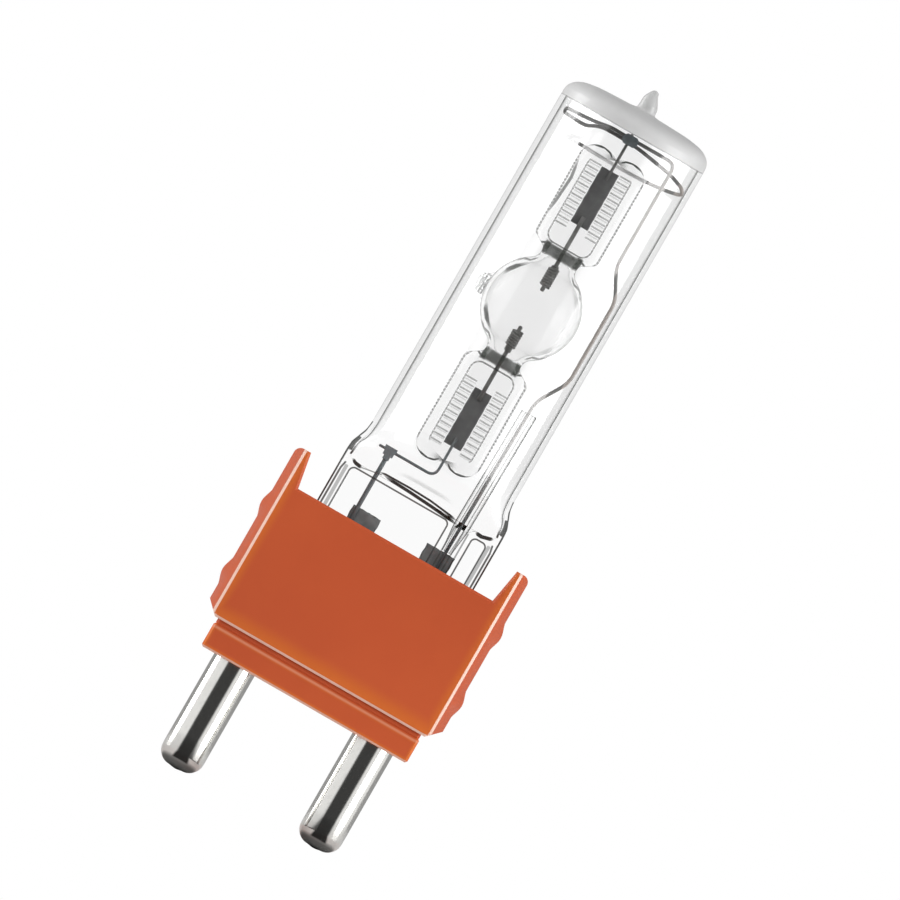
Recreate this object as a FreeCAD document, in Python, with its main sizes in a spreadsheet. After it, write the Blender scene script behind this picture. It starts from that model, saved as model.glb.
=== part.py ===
import FreeCAD, Part
import Sketcher
import math
import os
from FreeCAD import Placement, Rotation, Vector

# A single-ended discharge lamp: a burner of quartz in a blown glass jacket, on a moulded
# two-pin base. The frame stands on the underside of the base plate: the lamp's axis is +Z,
# the pins lie along X, and the broad face of the base looks to -Y. Lengths are millimetres.

doc = FreeCAD.newDocument("metal_halide_lamp")
sheet = doc.addObject("Spreadsheet::Sheet", "Sizes")


# Measures

class Size:
    """A measure: its formula in the document, and what that formula comes to now."""

    def __init__(self, formula, value):
        self.formula = formula
        self.value = float(value)

    def join(self, sign, other, value):
        return Size("(" + self.formula + " " + sign + " " + formula_of(other) + ")", value)

    def __add__(self, other):
        return self.join("+", other, self.value + value_of(other))

    def __sub__(self, other):
        return self.join("-", other, self.value - value_of(other))

    def __mul__(self, other):
        return self.join("*", other, self.value * value_of(other))

    def __truediv__(self, other):
        return self.join("/", other, self.value / value_of(other))

    def __neg__(self):
        return Size("(0 - " + self.formula + ")", -self.value)


def formula_of(measure):
    return measure.formula if isinstance(measure, Size) else str(measure)


def value_of(measure):
    return measure.value if isinstance(measure, Size) else float(measure)


row_count = 0


def size(alias, value, meaning):
    """A driving dimension: one row of the sheet, named by its alias."""
    global row_count
    row_count += 1
    sheet.set("A%d" % row_count, meaning)
    sheet.set("B%d" % row_count, str(value))
    sheet.setAlias("B%d" % row_count, alias)
    return Size("Sizes." + alias, value)


# A place on an axis, and the number of flats that blown glass, bent wire and waves are drawn
# with.
zero = Size("0", 0)
jacket_sides = 32
burner_sides = 24
wire_sides = 12
grip_sides = 10
hug_sides = 6

# Contact pins and their hardware
pin_inset = size("pin_inset", 13.05, "from the widest line of a flank to the pin's axis")
pin_radius = size("pin_radius", 5.55, "of a contact pin")
pin_length = size("pin_length", 28.6, "of a contact pin below the base plate")
pin_end_bevel = size("pin_end_bevel", 2.4, "edge of a pin's free end")
pin_recess = size("pin_recess", 0.4, "of a pin into the base plate")
pin_recess_clearance = size("pin_recess_clearance", 1.6, "round a pin in its recess, radial")
stud_radius = size("stud_radius", 3.0, "of the stud on a pin")
stud_clearance = size("stud_clearance", 0.1, "between stud and base plate, radial")
stud_overrun = size("stud_overrun", 1.0, "of the stud past its nut")
tag_thickness = size("tag_thickness", 0.8, "of a pin's tag")
tag_radius = size("tag_radius", 4.8, "half the width of a tag round its stud")
tag_width = size("tag_width", 4.0, "of a tag's tongue")
tag_end_margin = size("tag_end_margin", 1.4, "of the tongue past its lead")
nut_radius = size("nut_radius", 5.6, "of a nut over its corners")
nut_height = size("nut_height", 3.0, "of a nut")

# Base plate
plate_width = size("plate_width", 56.6, "of the base plate")
plate_depth = size("plate_depth", 27.4, "of the base plate, front to back")
plate_thickness = size("plate_thickness", 6.6, "of the base plate below its neck")
plate_corner = size("plate_corner", 0.6, "corner radius of the base plate in plan")
plate_edge = size("plate_edge", 0.5, "edge of the base plate")
neck_height = size("neck_height", 1.1, "shadow gap between base plate and housing")
neck_step = size("neck_step", 0.3, "of the neck behind the edge of the plate")
spigot_height = size("spigot_height", 2.5, "of the plate inside the housing")
spigot_clearance = size("spigot_clearance", 0.1, "between spigot and housing wall")

# Housing
housing_width = size("housing_width", 64.2, "at the parting plane")
housing_face_width = size("housing_face_width", 60.0, "of the front face")
housing_depth = size("housing_depth", 30.0, "front to back")
housing_height = size("housing_height", 36.3, "from its bottom to its roof")
housing_wall = size("housing_wall", 2.5, "of the front, the back and the roof")
housing_side_wall = size("housing_side_wall", 4.9, "of the flanks at the parting plane")
housing_corner_cut = size("housing_corner_cut", 3.2, "bottom corner of the flanks, 45 degrees")
housing_bevel = size("housing_bevel", 0.6, "round the front and back faces")
ear_height = size("ear_height", 9.0, "of the ears above the roof")
ear_foot = size("ear_foot", 53.6, "between the ears at the roof")
ear_opening = size("ear_opening", 56.8, "between the ears at their top")
ear_corner = size("ear_corner", 1.8, "radius of an ear's outer top corner")
grip_low = size("grip_low", 10.8, "of the lower grip above the housing's bottom")
grip_high = size("grip_high", 29.4, "of the upper grip above the housing's bottom")
grip_span = size("grip_span", 9.0, "of a grip, up and down")
grip_rise = size("grip_rise", 0.9, "of a grip outside the flank at the parting plane")
grip_depth = size("grip_depth", 13.8, "from the parting plane to where a grip dies out")
grip_root = size("grip_root", 0.1, "of a grip's edges below the flank")
slot_clearance = size("slot_clearance", 0.4, "between roof and glass")
cement_depth = size("cement_depth", 20.5, "of the cement below the roof")

# Jacket
jacket_radius = size("jacket_radius", 19.5, "of the outer glass")
jacket_wall = size("jacket_wall", 1.25, "of the outer glass")
pinch_rise = size("pinch_rise", 12.3, "top of the pinch above the roof")
pinch_clearance = size("pinch_clearance", 3.0, "from the studs to the pinch's end")
pinch_width = size("pinch_width", 43.2, "of the pinch")
pinch_thickness = size("pinch_thickness", 9.0, "of the pinch over its rims")
shoulder_height = size("shoulder_height", 10.5, "from pinch to round tube")
shoulder_middle = size("shoulder_middle", 5.2, "from pinch to the middle of the shoulder")
shoulder_width = size("shoulder_width", 41.8, "halfway down the shoulder")
shoulder_depth = size("shoulder_depth", 25.6, "halfway down the shoulder, front to back")
panel_depth = size("panel_depth", 1.5, "of the panels pressed into the pinch")
panel_rim = size("panel_rim", 3.1, "from the side of the pinch to its panels")
panel_drop = size("panel_drop", 1.3, "from the top of the pinch to its panels")
panel_corner = size("panel_corner", 1.2, "of the panels' top corners")
rib_left = size("rib_left", 8.6, "left side of the raised rib round the sleeve")
rib_right = size("rib_right", 14.9, "right side of the raised rib round the sleeve")
dome_clearance = size("dome_clearance", 0.1, "from top clamp to the end of the round tube")
dome_corner = size("dome_corner", 5.3, "corner radius of the dome")
crown_rise = size("crown_rise", 0.9, "of the crown inside its corner")
crown_wall = size("crown_wall", 1.5, "of the glass in the crown")
exhaust_tip_radius = size("exhaust_tip_radius", 2.5, "of the drawn exhaust tip")
exhaust_tip_height = size("exhaust_tip_height", 5.8, "of the drawn exhaust tip")

# Arc tube
burner_clearance = size("burner_clearance", 9.4, "from the pinch to the lower seal")
bulb_radius = size("bulb_radius", 12.2, "of the arc tube's bulb")
bulb_wall = size("bulb_wall", 1.3, "of the arc tube's bulb")
cavity_end_radius = size("cavity_end_radius", 1.6, "of the cavity at its ends")
bulb_end_depth = size("bulb_end_depth", 12.15, "from the arc's middle to the cavity's ends")
neck_radius = size("neck_radius", 4.85, "of the arc tube's necks")
neck_start = size("neck_start", 12.2, "from the arc's middle to the neck")
neck_end = size("neck_end", 13.6, "from the arc's middle to the flattened glass")
seal_start = size("seal_start", 17.6, "from the arc's middle to the full seal")
seal_width = size("seal_width", 17.2, "of a pinch seal")
seal_thickness = size("seal_thickness", 5.2, "of a pinch seal over its rims")
seal_lobe = size("seal_lobe", 4.3, "radius of the lobes at a seal's end")
seal_dip = size("seal_dip", 1.3, "between the lobes")
upper_seal_end = size("upper_seal_end", 42.2, "from the arc's middle")
lower_seal_end = size("lower_seal_end", 43.4, "from the arc's middle")
window_start = size("window_start", 16.4, "from the arc's middle to the pressed window")
window_margin = size("window_margin", 1.3, "from the window to the dip in the seal's end")
window_width = size("window_width", 11.4, "of the pressed window")
window_round = size("window_round", 3.4, "corner radius of the window at the bulb's side")
web_thickness = size("web_thickness", 3.0, "of a seal in its window")
ridge_height = size("ridge_height", 0.35, "of the ridges across the web")
upper_ridge_pitch = size("upper_ridge_pitch", 1.52, "of the ridges in the upper seal")
lower_ridge_pitch = size("lower_ridge_pitch", 1.52, "of the ridges in the lower seal")
nub_height = size("nub_height", 2.6, "of the tip-off nub outside the bulb")
nub_radius = size("nub_radius", 3.5, "of the tip-off nub at its foot")
nub_end_radius = size("nub_end_radius", 2.3, "of the tip-off nub at its end")

# Electrodes and conductors
arc_gap = size("arc_gap", 9.6, "between the electrode tips")
rod_radius = size("rod_radius", 0.525, "of an electrode rod")
coil_radius = size("coil_radius", 1.45, "of an electrode's winding")
coil_tail_radius = size("coil_tail_radius", 0.98, "of the first layer of the winding")
coil_setback = size("coil_setback", 1.15, "from the tip to the winding")
upper_coil_length = size("upper_coil_length", 5.3, "of the closed winding")
upper_coil_tail = size("upper_coil_tail", 0.7, "of the first layer past the winding")
lower_coil_length = size("lower_coil_length", 4.6, "of the closed winding")
lower_coil_tail = size("lower_coil_tail", 1.4, "of the first layer past the winding")
foil_thickness = size("foil_thickness", 0.08, "of a sealing foil")
weld_depth = size("weld_depth", 0.05, "of a wire pressed into its foil")
weld_length = size("weld_length", 2.4, "of a wire on its foil")
arc_foil_start = size("arc_foil_start", 22.8, "from the arc's middle to the foil")
arc_foil_length = size("arc_foil_length", 15.2, "of a foil in the arc tube")
arc_foil_width = size("arc_foil_width", 4.8, "of a foil in the arc tube")
upper_lead_radius = size("upper_lead_radius", 0.375, "of the upper arc lead")
lower_lead_radius = size("lower_lead_radius", 0.35, "of the lower arc lead")
lower_lead_drop = size("lower_lead_drop", 2.9, "from the lower seal to the lead's crossing run")
lower_lead_bend = size("lower_lead_bend", 2.3, "bend radius of the lower arc lead")
lower_lead_end = size("lower_lead_end", 3.0, "of the lower arc lead past the post")
post_radius = size("post_radius", 0.55, "of the left post")
post_offset = size("post_offset", 12.3, "of the left post from the lamp's axis")
post_gap = size("post_gap", 0.3, "between the post's top and the lead that crosses it")
seal_foil_width = size("seal_foil_width", 7.9, "of a foil in the jacket's pinch")
seal_foil_bottom = size("seal_foil_bottom", 4.0, "of the foils above the pinch's end")
left_foil_offset = size("left_foil_offset", 9.65, "of the left foil from the axis")
right_foil_offset = size("right_foil_offset", 10.2, "of the right foil from the axis")
left_foil_top = size("left_foil_top", 3.5, "of the left foil above the roof")
right_foil_top = size("right_foil_top", 4.3, "of the right foil above the roof")
lead_overlap = size("lead_overlap", 5.0, "of post, return lead and outer leads on their foils")
outer_lead_radius = size("outer_lead_radius", 0.6, "of an outer lead")
left_lead_inset = size("left_lead_inset", 9.4, "from the left pin's axis to its lead")
right_lead_inset = size("right_lead_inset", 8.85, "from the right pin's axis to its lead")
return_radius = size("return_radius", 0.45, "of the return lead")
return_foot = size("return_foot", 11.25, "of the return lead from the axis at its foil")
return_knee = size("return_knee", 12.0, "of the return lead from the axis at its lower knee")
return_bow = size("return_bow", 16.6, "of the return lead from the axis beside the bulb")
return_top = size("return_top", 12.6, "of the return lead from the axis above the bulb")
return_knee_height = size("return_knee_height", 18.7, "of the knees from the arc's middle")
return_bow_height = size("return_bow_height", 11.3, "of the bow from the arc's middle")
return_bend = size("return_bend", 2.6, "bend radius of the return lead")
return_corner = size("return_corner", 1.6, "bend radius of the return lead's top corner")
sleeve_radius = size("sleeve_radius", 2.05, "of the quartz sleeve")
sleeve_bore = size("sleeve_bore", 1.1, "radius of the sleeve's bore")
sleeve_offset = size("sleeve_offset", 0.2, "of the sleeve from the lead in it")
sleeve_gap = size("sleeve_gap", 0.2, "between the sleeve's foot and its foil")
sleeve_top_gap = size("sleeve_top_gap", 3.3, "from the sleeve's top to the lower knee")

# Clamps and spring
post_clamp_width = size("post_clamp_width", 3.2, "of the clip on the post")
post_clamp_height = size("post_clamp_height", 3.4, "of the clip on the post")
post_clamp_rise = size("post_clamp_rise", 1.0, "of the clip above the crossing lead")
clamp_cover = size("clamp_cover", 0.4, "of clamp metal over the wires")
wire_gap = size("wire_gap", 0.05, "between wires that pass in the top clamp")
top_clamp_middle = size("top_clamp_middle", 0.5, "of the top clamp from the lamp's axis")
upper_lead_offset = size("upper_lead_offset", 0.2, "of the upper arc lead from the axis")
top_clamp_gap = size("top_clamp_gap", 3.1, "from the upper seal to the top clamp")
top_clamp_width = size("top_clamp_width", 4.0, "of the top clamp")
top_clamp_height = size("top_clamp_height", 2.6, "of the top clamp")
top_clamp_corner = size("top_clamp_corner", 0.7, "cut corners of the top clamp")
spring_radius = size("spring_radius", 0.45, "of the spring wire")
spring_bend = size("spring_bend", 1.6, "bend radius at the ends of the spring's chord")
spring_chord = size("spring_chord", 12.4, "length of the spring's straight end")
spring_sag = size("spring_sag", 5.5, "of the rear arc below the clamp's foot")
spring_hug = size("spring_hug", 125.0, "degrees of wall that the rear arc follows")
spring_clearance = size("spring_clearance", 0.03, "between the spring and the glass it rests on")

# Heights and places that follow from the driving dimensions
pin_spacing = housing_width - pin_inset * 2
left_lead_offset = pin_spacing / 2 - left_lead_inset
right_lead_offset = pin_spacing / 2 - right_lead_inset
housing_bottom = plate_thickness + neck_height
roof = housing_bottom + housing_height
ear_top = roof + ear_height
pinch_top = roof + pinch_rise
shoulder_top = pinch_top + shoulder_height
lower_seal_foot = pinch_top + burner_clearance
arc_height = lower_seal_foot + lower_seal_end
upper_seal_top = arc_height + upper_seal_end
top_clamp_foot = upper_seal_top + top_clamp_gap
top_clamp_head = top_clamp_foot + top_clamp_height
tube_top = top_clamp_head + dome_clearance
tag_foot = housing_bottom + spigot_height
tag_head = tag_foot + tag_thickness
nut_head = tag_head + nut_height
stud_top = nut_head + stud_overrun
pinch_bottom = stud_top + pinch_clearance
foil_foot = pinch_bottom + seal_foil_bottom
crossing_height = lower_seal_foot - lower_lead_drop
arc_foil_face = rod_radius - weld_depth
jacket_flat = round(math.cos(math.pi / jacket_sides), 5)
wall_touch = (jacket_radius - jacket_wall) * jacket_flat - spring_radius - spring_clearance
jacket_foil_face = foil_thickness / 2
return_foot_height = roof + right_foil_top - lead_overlap
return_depth = jacket_foil_face + return_radius - weld_depth
post_depth = jacket_foil_face + post_radius - weld_depth
upper_lead_depth = arc_foil_face + weld_depth - upper_lead_radius
lower_lead_depth = arc_foil_face + weld_depth - lower_lead_radius
return_top_depth = return_radius + upper_lead_radius - upper_lead_depth + wire_gap
spring_depth = upper_lead_depth + upper_lead_radius + spring_radius + wire_gap
strand_height = top_clamp_head - clamp_cover - spring_radius
lower_strand_height = strand_height - spring_radius * 2 - wire_gap


# Ways of building

def bind(item, place, measure):
    item.setExpression(place, formula_of(measure))


def origin_feature(body, role):
    for feature in body.Origin.OriginFeatures:
        if feature.Role == role:
            return feature
    raise ValueError(role)


def arc_between(start, end, bend):
    """The short arc of radius |bend| from start to end, turning left where bend is positive."""
    chord = end - start
    middle = (start + end) * 0.5
    reach = math.sqrt(max(bend * bend - chord.Length * chord.Length / 4.0, 0.0))
    left = Vector(-chord.y, chord.x, 0)
    left.normalize()
    centre = middle + left * (reach if bend > 0 else -reach)
    first = start if bend > 0 else end
    last = end if bend > 0 else start
    angle_first = math.atan2(first.y - centre.y, first.x - centre.x)
    angle_last = math.atan2(last.y - centre.y, last.x - centre.x)
    if angle_last < angle_first:
        angle_last += 2.0 * math.pi
    circle = Part.Circle(centre, Vector(0, 0, 1), abs(bend))
    return Part.ArcOfCircle(circle, angle_first, angle_last)


def draw(sketch, corners):
    """A closed outline. A corner is (across, up), or (across, up, bend) where an arc arrives."""
    count = len(corners)
    first_edge = sketch.GeometryCount
    edges = []
    ends = []
    for index in range(count):
        before = corners[index - 1]
        here = corners[index]
        start = Vector(value_of(before[0]), value_of(before[1]), 0)
        end = Vector(value_of(here[0]), value_of(here[1]), 0)
        bend = value_of(here[2]) if len(here) == 3 else 0.0
        edges.append(arc_between(start, end, bend) if bend else Part.LineSegment(start, end))
        ends.append((2, 1) if bend < 0 else (1, 2))
    sketch.addGeometry(edges, False)

    rules = []
    for index in range(count):
        following = (index + 1) % count
        meeting = Sketcher.Constraint("Coincident", first_edge + index, ends[index][1],
                                      first_edge + following, ends[following][0])
        rules.append((meeting, zero))
    for index, here in enumerate(corners):
        edge = first_edge + index
        rules.append(held("DistanceX", -2, edge, ends[index][1], here[0]))
        rules.append(held("DistanceY", -1, edge, ends[index][1], here[1]))
        if len(here) == 3:
            radius = -here[2] if value_of(here[2]) < 0 else here[2]
            rules.append((Sketcher.Constraint("Radius", edge, value_of(radius)), radius))
    first_row = sketch.ConstraintCount
    sketch.addConstraint([rule for rule, measure in rules])
    for index, (rule, measure) in enumerate(rules):
        if measure is not zero:
            bind(sketch, "Constraints[%d]" % (first_row + index), measure)


def held(kind, axis, edge, corner, measure):
    """One coordinate of an edge's end, and what it follows: the axis itself where it is zero."""
    if measure is zero:
        return Sketcher.Constraint("PointOnObject", edge, corner, axis), zero
    return Sketcher.Constraint(kind, -1, 1, edge, corner, value_of(measure)), measure


def new_sketch(body, name, plane, offset, outlines):
    sketch = body.newObject("Sketcher::SketchObject", name)
    sketch.AttachmentSupport = [(origin_feature(body, plane), "")]
    sketch.MapMode = "FlatFace"
    bind(sketch, "AttachmentOffset.Base.z", offset)
    for outline in outlines:
        draw(sketch, outline)
    return sketch


def pad(body, name, plane, offset, outlines, length, both=False):
    feature = body.newObject("PartDesign::Pad", name)
    feature.Refine = False
    feature.Profile = new_sketch(body, name + "_outline", plane, offset, outlines)
    feature.SideType = "Symmetric" if both else "One side"
    bind(feature, "Length", length)
    return feature


def pocket(body, name, plane, offset, outlines, length, both=False, onward=False):
    """A cut against the plane's direction, along it where onward, or to both sides."""
    feature = body.newObject("PartDesign::Pocket", name)
    feature.Refine = False
    feature.Profile = new_sketch(body, name + "_outline", plane, offset, outlines)
    feature.SideType = "Symmetric" if both else "One side"
    feature.Reversed = onward
    bind(feature, "Length", length)
    return feature


def new_body(name):
    return doc.addObject("PartDesign::Body", name)


def body_on(name, blank):
    """A body that presses and cuts a blank made before it."""
    body = new_body(name)
    body.BaseFeature = blank
    return body


def quarter(centre_across, centre_up, radius, first, last, steps):
    """Corners along an arc of a turned profile, from the first angle to the last in degrees."""
    corners = []
    for index in range(1, steps + 1):
        angle = math.radians(first + (last - first) * index / steps)
        corners.append((radius * round(math.cos(angle), 6) + centre_across,
                        radius * round(math.sin(angle), 6) + centre_up))
    return corners


def rectangle(left, right, bottom, top):
    return [(left, bottom), (right, bottom), (right, top), (left, top)]


def beveled(half_across, half_up, corner):
    """A rectangle about the axis with its corners cut."""
    flat = half_across - corner
    tall = half_up - corner
    return [(flat, -half_up), (half_across, -tall), (half_across, tall), (flat, half_up),
            (-flat, half_up), (-half_across, tall), (-half_across, -tall), (-flat, -half_up)]


def many_sided(half_width, half_depth, fullness, sides):
    """A section of drawn glass with this many corners: an ellipse at fullness 2, squarer above."""
    corners = []
    for index in range(sides):
        turn = 2.0 * math.pi * index / sides
        place = []
        for half, reach in ((half_width, math.cos(turn)), (half_depth, math.sin(turn))):
            share = math.copysign(abs(reach) ** (2.0 / fullness), reach)
            place.append(value_of(half) * share)
        corners.append(place)
    return corners


def ring(radius, sides):
    return many_sided(radius, radius, 2, sides)


def flat_face(corners):
    return Part.Face(Part.makePolygon(corners + corners[:1]))


def drawn(name, sections):
    """Glass drawn through many-sided sections, each (height, corners), with flat faces from
    corner to corner: two where four corners don't lie in one plane."""
    rings = []
    for height, corners in sections:
        rings.append([Vector(across, deep, value_of(height)) for across, deep in corners])
    faces = [flat_face(rings[0]), flat_face(rings[-1])]
    for below, above in zip(rings, rings[1:]):
        for index in range(len(below)):
            first, second = below[index - 1], below[index]
            third, fourth = above[index], above[index - 1]
            normal = (second - first).cross(fourth - first).normalize()
            if abs(normal.dot(third - first)) < 0.000001:
                faces.append(flat_face([first, second, third, fourth]))
            else:
                faces.append(flat_face([first, second, third]))
                faces.append(flat_face([first, third, fourth]))
    shell = Part.makeShell(faces)
    shell.sewShape()
    glass = doc.addObject("Part::Feature", name)
    glass.Shape = Part.makeSolid(shell)
    glass.Placement = Placement(Vector(0, 0, 0), Rotation())
    return glass


def cut(name, base, tools):
    """The base with the tools' forms taken out, in one cut."""
    rest = doc.addObject("Part::Cut", name)
    rest.Base = base
    rest.Tool = tools[0] if len(tools) == 1 else fuse(name + "_tools", tools)
    return rest


def fuse(name, forms):
    joined = doc.addObject("Part::MultiFuse", name)
    joined.Shapes = forms
    return joined


def box(name, across, deep, up):
    """A block between two limits along each axis."""
    block = doc.addObject("Part::Box", name)
    for axis, side, (low, high) in (("x", "Length", across), ("y", "Width", deep),
                                    ("z", "Height", up)):
        bind(block, side, high - low)
        bind(block, "Placement.Base." + axis, low)
    return block


def upright(name, radius, across, deep, low, high, sides=wire_sides):
    """A bar along Z with this many flats."""
    bar = doc.addObject("Part::Prism", name)
    bar.Polygon = sides
    bind(bar, "Circumradius", radius)
    bind(bar, "Height", high - low)
    bind(bar, "Placement.Base.x", across)
    bind(bar, "Placement.Base.y", deep)
    bind(bar, "Placement.Base.z", low)
    return bar


def point(across, deep, up):
    return Vector(value_of(across), value_of(deep), value_of(up))


def bent_wire(name, radius, points, bends):
    """A round wire along straight runs. Each inner point has (bend radius, chords): its bend
    is that many short mitred chords, and none is a plain mitre."""
    stations = [points[0]]
    for index, (bend, chords) in enumerate(bends):
        corner = points[index + 1]
        inward = (corner - points[index]).normalize()
        outward = (points[index + 2] - corner).normalize()
        turn = inward.getAngle(outward)
        reach = bend * math.tan(turn / 2.0)
        centre = corner + (outward - inward).normalize() * (bend / math.cos(turn / 2.0))
        if chords == 0:
            stations.append(corner)
            continue
        axis = inward.cross(outward)
        spoke = corner - inward * reach - centre
        for step in range(chords + 1):
            swing = Rotation(axis, math.degrees(turn) * step / chords)
            stations.append(centre + swing.multVec(spoke))
    stations.append(points[-1])
    path = Part.makePolygon(stations)
    heading = stations[1] - stations[0]
    outline = Part.Circle(stations[0], heading, value_of(radius)).discretize(wire_sides + 1)
    solid = path.makePipeShell([Part.makePolygon(outline)], True, False, 1)
    flat_area = 0.5 * wire_sides * math.sin(2.0 * math.pi / wire_sides)
    expected = flat_area * value_of(radius) ** 2 * path.Length
    if abs(solid.Volume - expected) > 0.03 * expected:
        raise ValueError("%s: %.3f against %.3f" % (name, solid.Volume, expected))
    wire = doc.addObject("Part::Feature", name)
    wire.Shape = solid
    wire.Placement = Placement(Vector(0, 0, 0), Rotation())
    return wire


# Base

def contact_pin(name, side):
    """A round pin with a rounded end, and a stud that goes up through the base plate."""
    axis = pin_spacing * side / 2
    end = -pin_length
    shank = doc.addObject("Part::Cylinder", name + "_shank")
    bind(shank, "Radius", pin_radius)
    bind(shank, "Height", pin_length - pin_end_bevel + pin_recess)
    bind(shank, "Placement.Base.x", axis)
    bind(shank, "Placement.Base.z", end + pin_end_bevel)
    sections = [(end, ring(pin_radius - pin_end_bevel, burner_sides)),
                (end + pin_end_bevel * 0.35, ring(pin_radius - pin_end_bevel * 0.35,
                                                  burner_sides)),
                (end + pin_end_bevel, ring(pin_radius, burner_sides))]
    nose = drawn(name + "_nose", sections)
    bind(nose, "Placement.Base.x", axis)
    stud = upright(name + "_stud", stud_radius, axis, zero, pin_recess, stud_top)
    return fuse(name, [shank, nose, stud])


def base_plate():
    """The moulded plate: slab, neck in the shadow gap, spigot in the housing, two holes."""
    body = new_body("plate_body")
    half_width = plate_width / 2
    half_depth = plate_depth / 2
    pad(body, "plate_slab", "XY_Plane", 0, [beveled(half_width, half_depth, plate_corner)],
        plate_thickness)
    doc.recompute()
    slab = body.Tip
    bevel = body.newObject("PartDesign::Chamfer", "plate_edges")
    bevel.Base = (slab, level_edges(slab, 0.0) + level_edges(slab, plate_thickness.value))
    bind(bevel, "Size", plate_edge)
    pad(body, "plate_neck", "XY_Plane", plate_thickness,
        [beveled(half_width - neck_step, half_depth - neck_step, plate_corner)], neck_height)
    inner_width = housing_width / 2 - housing_side_wall - spigot_clearance
    inner_depth = housing_depth / 2 - housing_wall - spigot_clearance
    pad(body, "plate_spigot", "XY_Plane", housing_bottom,
        [beveled(inner_width, inner_depth, plate_corner)], spigot_height)
    return body


def level_edges(feature, height):
    """The names of a feature's edges that lie flat at one height."""
    names = []
    for index, edge in enumerate(feature.Shape.Edges):
        bounds = edge.BoundBox
        if abs(bounds.ZMin - height) < 0.001 and abs(bounds.ZMax - height) < 0.001:
            names.append("Edge%d" % (index + 1))
    return names


def facing_edges(feature, depth):
    """The names of a feature's edges that lie in the plane y = depth."""
    names = []
    for index, edge in enumerate(feature.Shape.Edges):
        bounds = edge.BoundBox
        if abs(bounds.YMin - depth) < 0.001 and abs(bounds.YMax - depth) < 0.001:
            names.append("Edge%d" % (index + 1))
    return names


def grip(name, side, height):
    """A wave on the flank, highest at the parting plane, that dies out towards the face. Its
    height follows a raised cosine, drawn in ten flats."""
    middle = value_of(housing_bottom + height)
    draft = (housing_width - housing_face_width).value / housing_depth.value
    sections = []
    for depth, rise in ((0.0, grip_rise.value), (grip_depth.value, 0.0)):
        flank = housing_width.value / 2 - draft * depth - grip_root.value
        corners = [((flank - housing_bevel.value) * side, middle - grip_span.value / 2)]
        for index in range(grip_sides + 1):
            share = index / grip_sides
            wave = (rise + grip_root.value * (rise > 0)) * (1 - math.cos(2 * math.pi * share)) / 2
            corners.append(((flank + wave) * side, middle + grip_span.value * (share - 0.5)))
        corners.append(((flank - housing_bevel.value) * side, middle + grip_span.value / 2))
        sections.append((depth, corners[::side]))
    form = drawn(name, sections)
    form.Placement = Placement(Vector(0, 0, 0), Rotation(Vector(1, 0, 0), 90))
    return form


def housing_front():
    """The front half: drafted towards the parting plane, open below, with ears and grips."""
    body = new_body("housing_front_body")
    half_width = housing_width / 2
    half_face = housing_face_width / 2
    half_depth = housing_depth / 2
    whole_height = ear_top - housing_bottom
    pad(body, "housing_block", "XY_Plane", housing_bottom,
        [[(-half_width, zero), (-half_face, -half_depth), (half_face, -half_depth),
          (half_width, zero)]], whole_height)

    # The notch between the ears leans outwards, and is drawn a little past their tops.
    half_foot = ear_foot / 2
    half_opening = ear_opening / 2
    slope = (half_opening - half_foot) / ear_height
    over = half_opening + slope
    pocket(body, "ear_notch", "XZ_Plane", 0,
           [[(-half_foot, roof), (half_foot, roof), (over, ear_top + 1), (-over, ear_top + 1)]],
           housing_depth * 2, both=True)

    for side in (-1, 1):
        outside = half_width + 1
        low_corner = [((half_width - housing_corner_cut) * side, housing_bottom),
                      (outside * side, housing_bottom),
                      (outside * side, housing_bottom + housing_corner_cut + 1)]
        high_corner = [((half_width - ear_corner) * side, ear_top, ear_corner * side),
                       ((half_width - ear_corner) * side, ear_top + 1),
                       (outside * side, ear_top + 1),
                       (outside * side, ear_top - ear_corner),
                       (half_width * side, ear_top - ear_corner)]
        pocket(body, "corner_cuts_%s" % ("left" if side < 0 else "right"), "XZ_Plane", 0,
               [low_corner, high_corner], housing_depth * 2, both=True)

    doc.recompute()
    last = body.Tip
    bevel = body.newObject("PartDesign::Chamfer", "face_bevel")
    bevel.Base = (last, facing_edges(last, -half_depth.value))
    bind(bevel, "Size", housing_bevel)

    inner_half = half_width - housing_side_wall
    inner_front = -(half_depth - housing_wall)
    pocket(body, "housing_cavity", "XY_Plane", housing_bottom,
           [rectangle(-inner_half, inner_half, inner_front, zero)],
           housing_height - housing_wall, onward=True)
    slot_half = pinch_width / 2 + slot_clearance
    slot_front = -(pinch_thickness / 2 + slot_clearance)
    pocket(body, "glass_slot", "XY_Plane", roof - housing_wall,
           [rectangle(-slot_half, slot_half, slot_front, zero)], housing_wall * 2, onward=True)
    forms = [body]
    for hand, side in (("left", -1), ("right", 1)):
        forms.append(grip(hand + "_lower_grip", side, grip_low))
        forms.append(grip(hand + "_upper_grip", side, grip_high))
    return fuse("housing_moulding", forms)


def housing_back(front):
    half = doc.addObject("Part::Mirroring", "housing_back")
    half.Source = front
    half.Normal = Vector(0, 1, 0)
    return half


# Jacket

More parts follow.
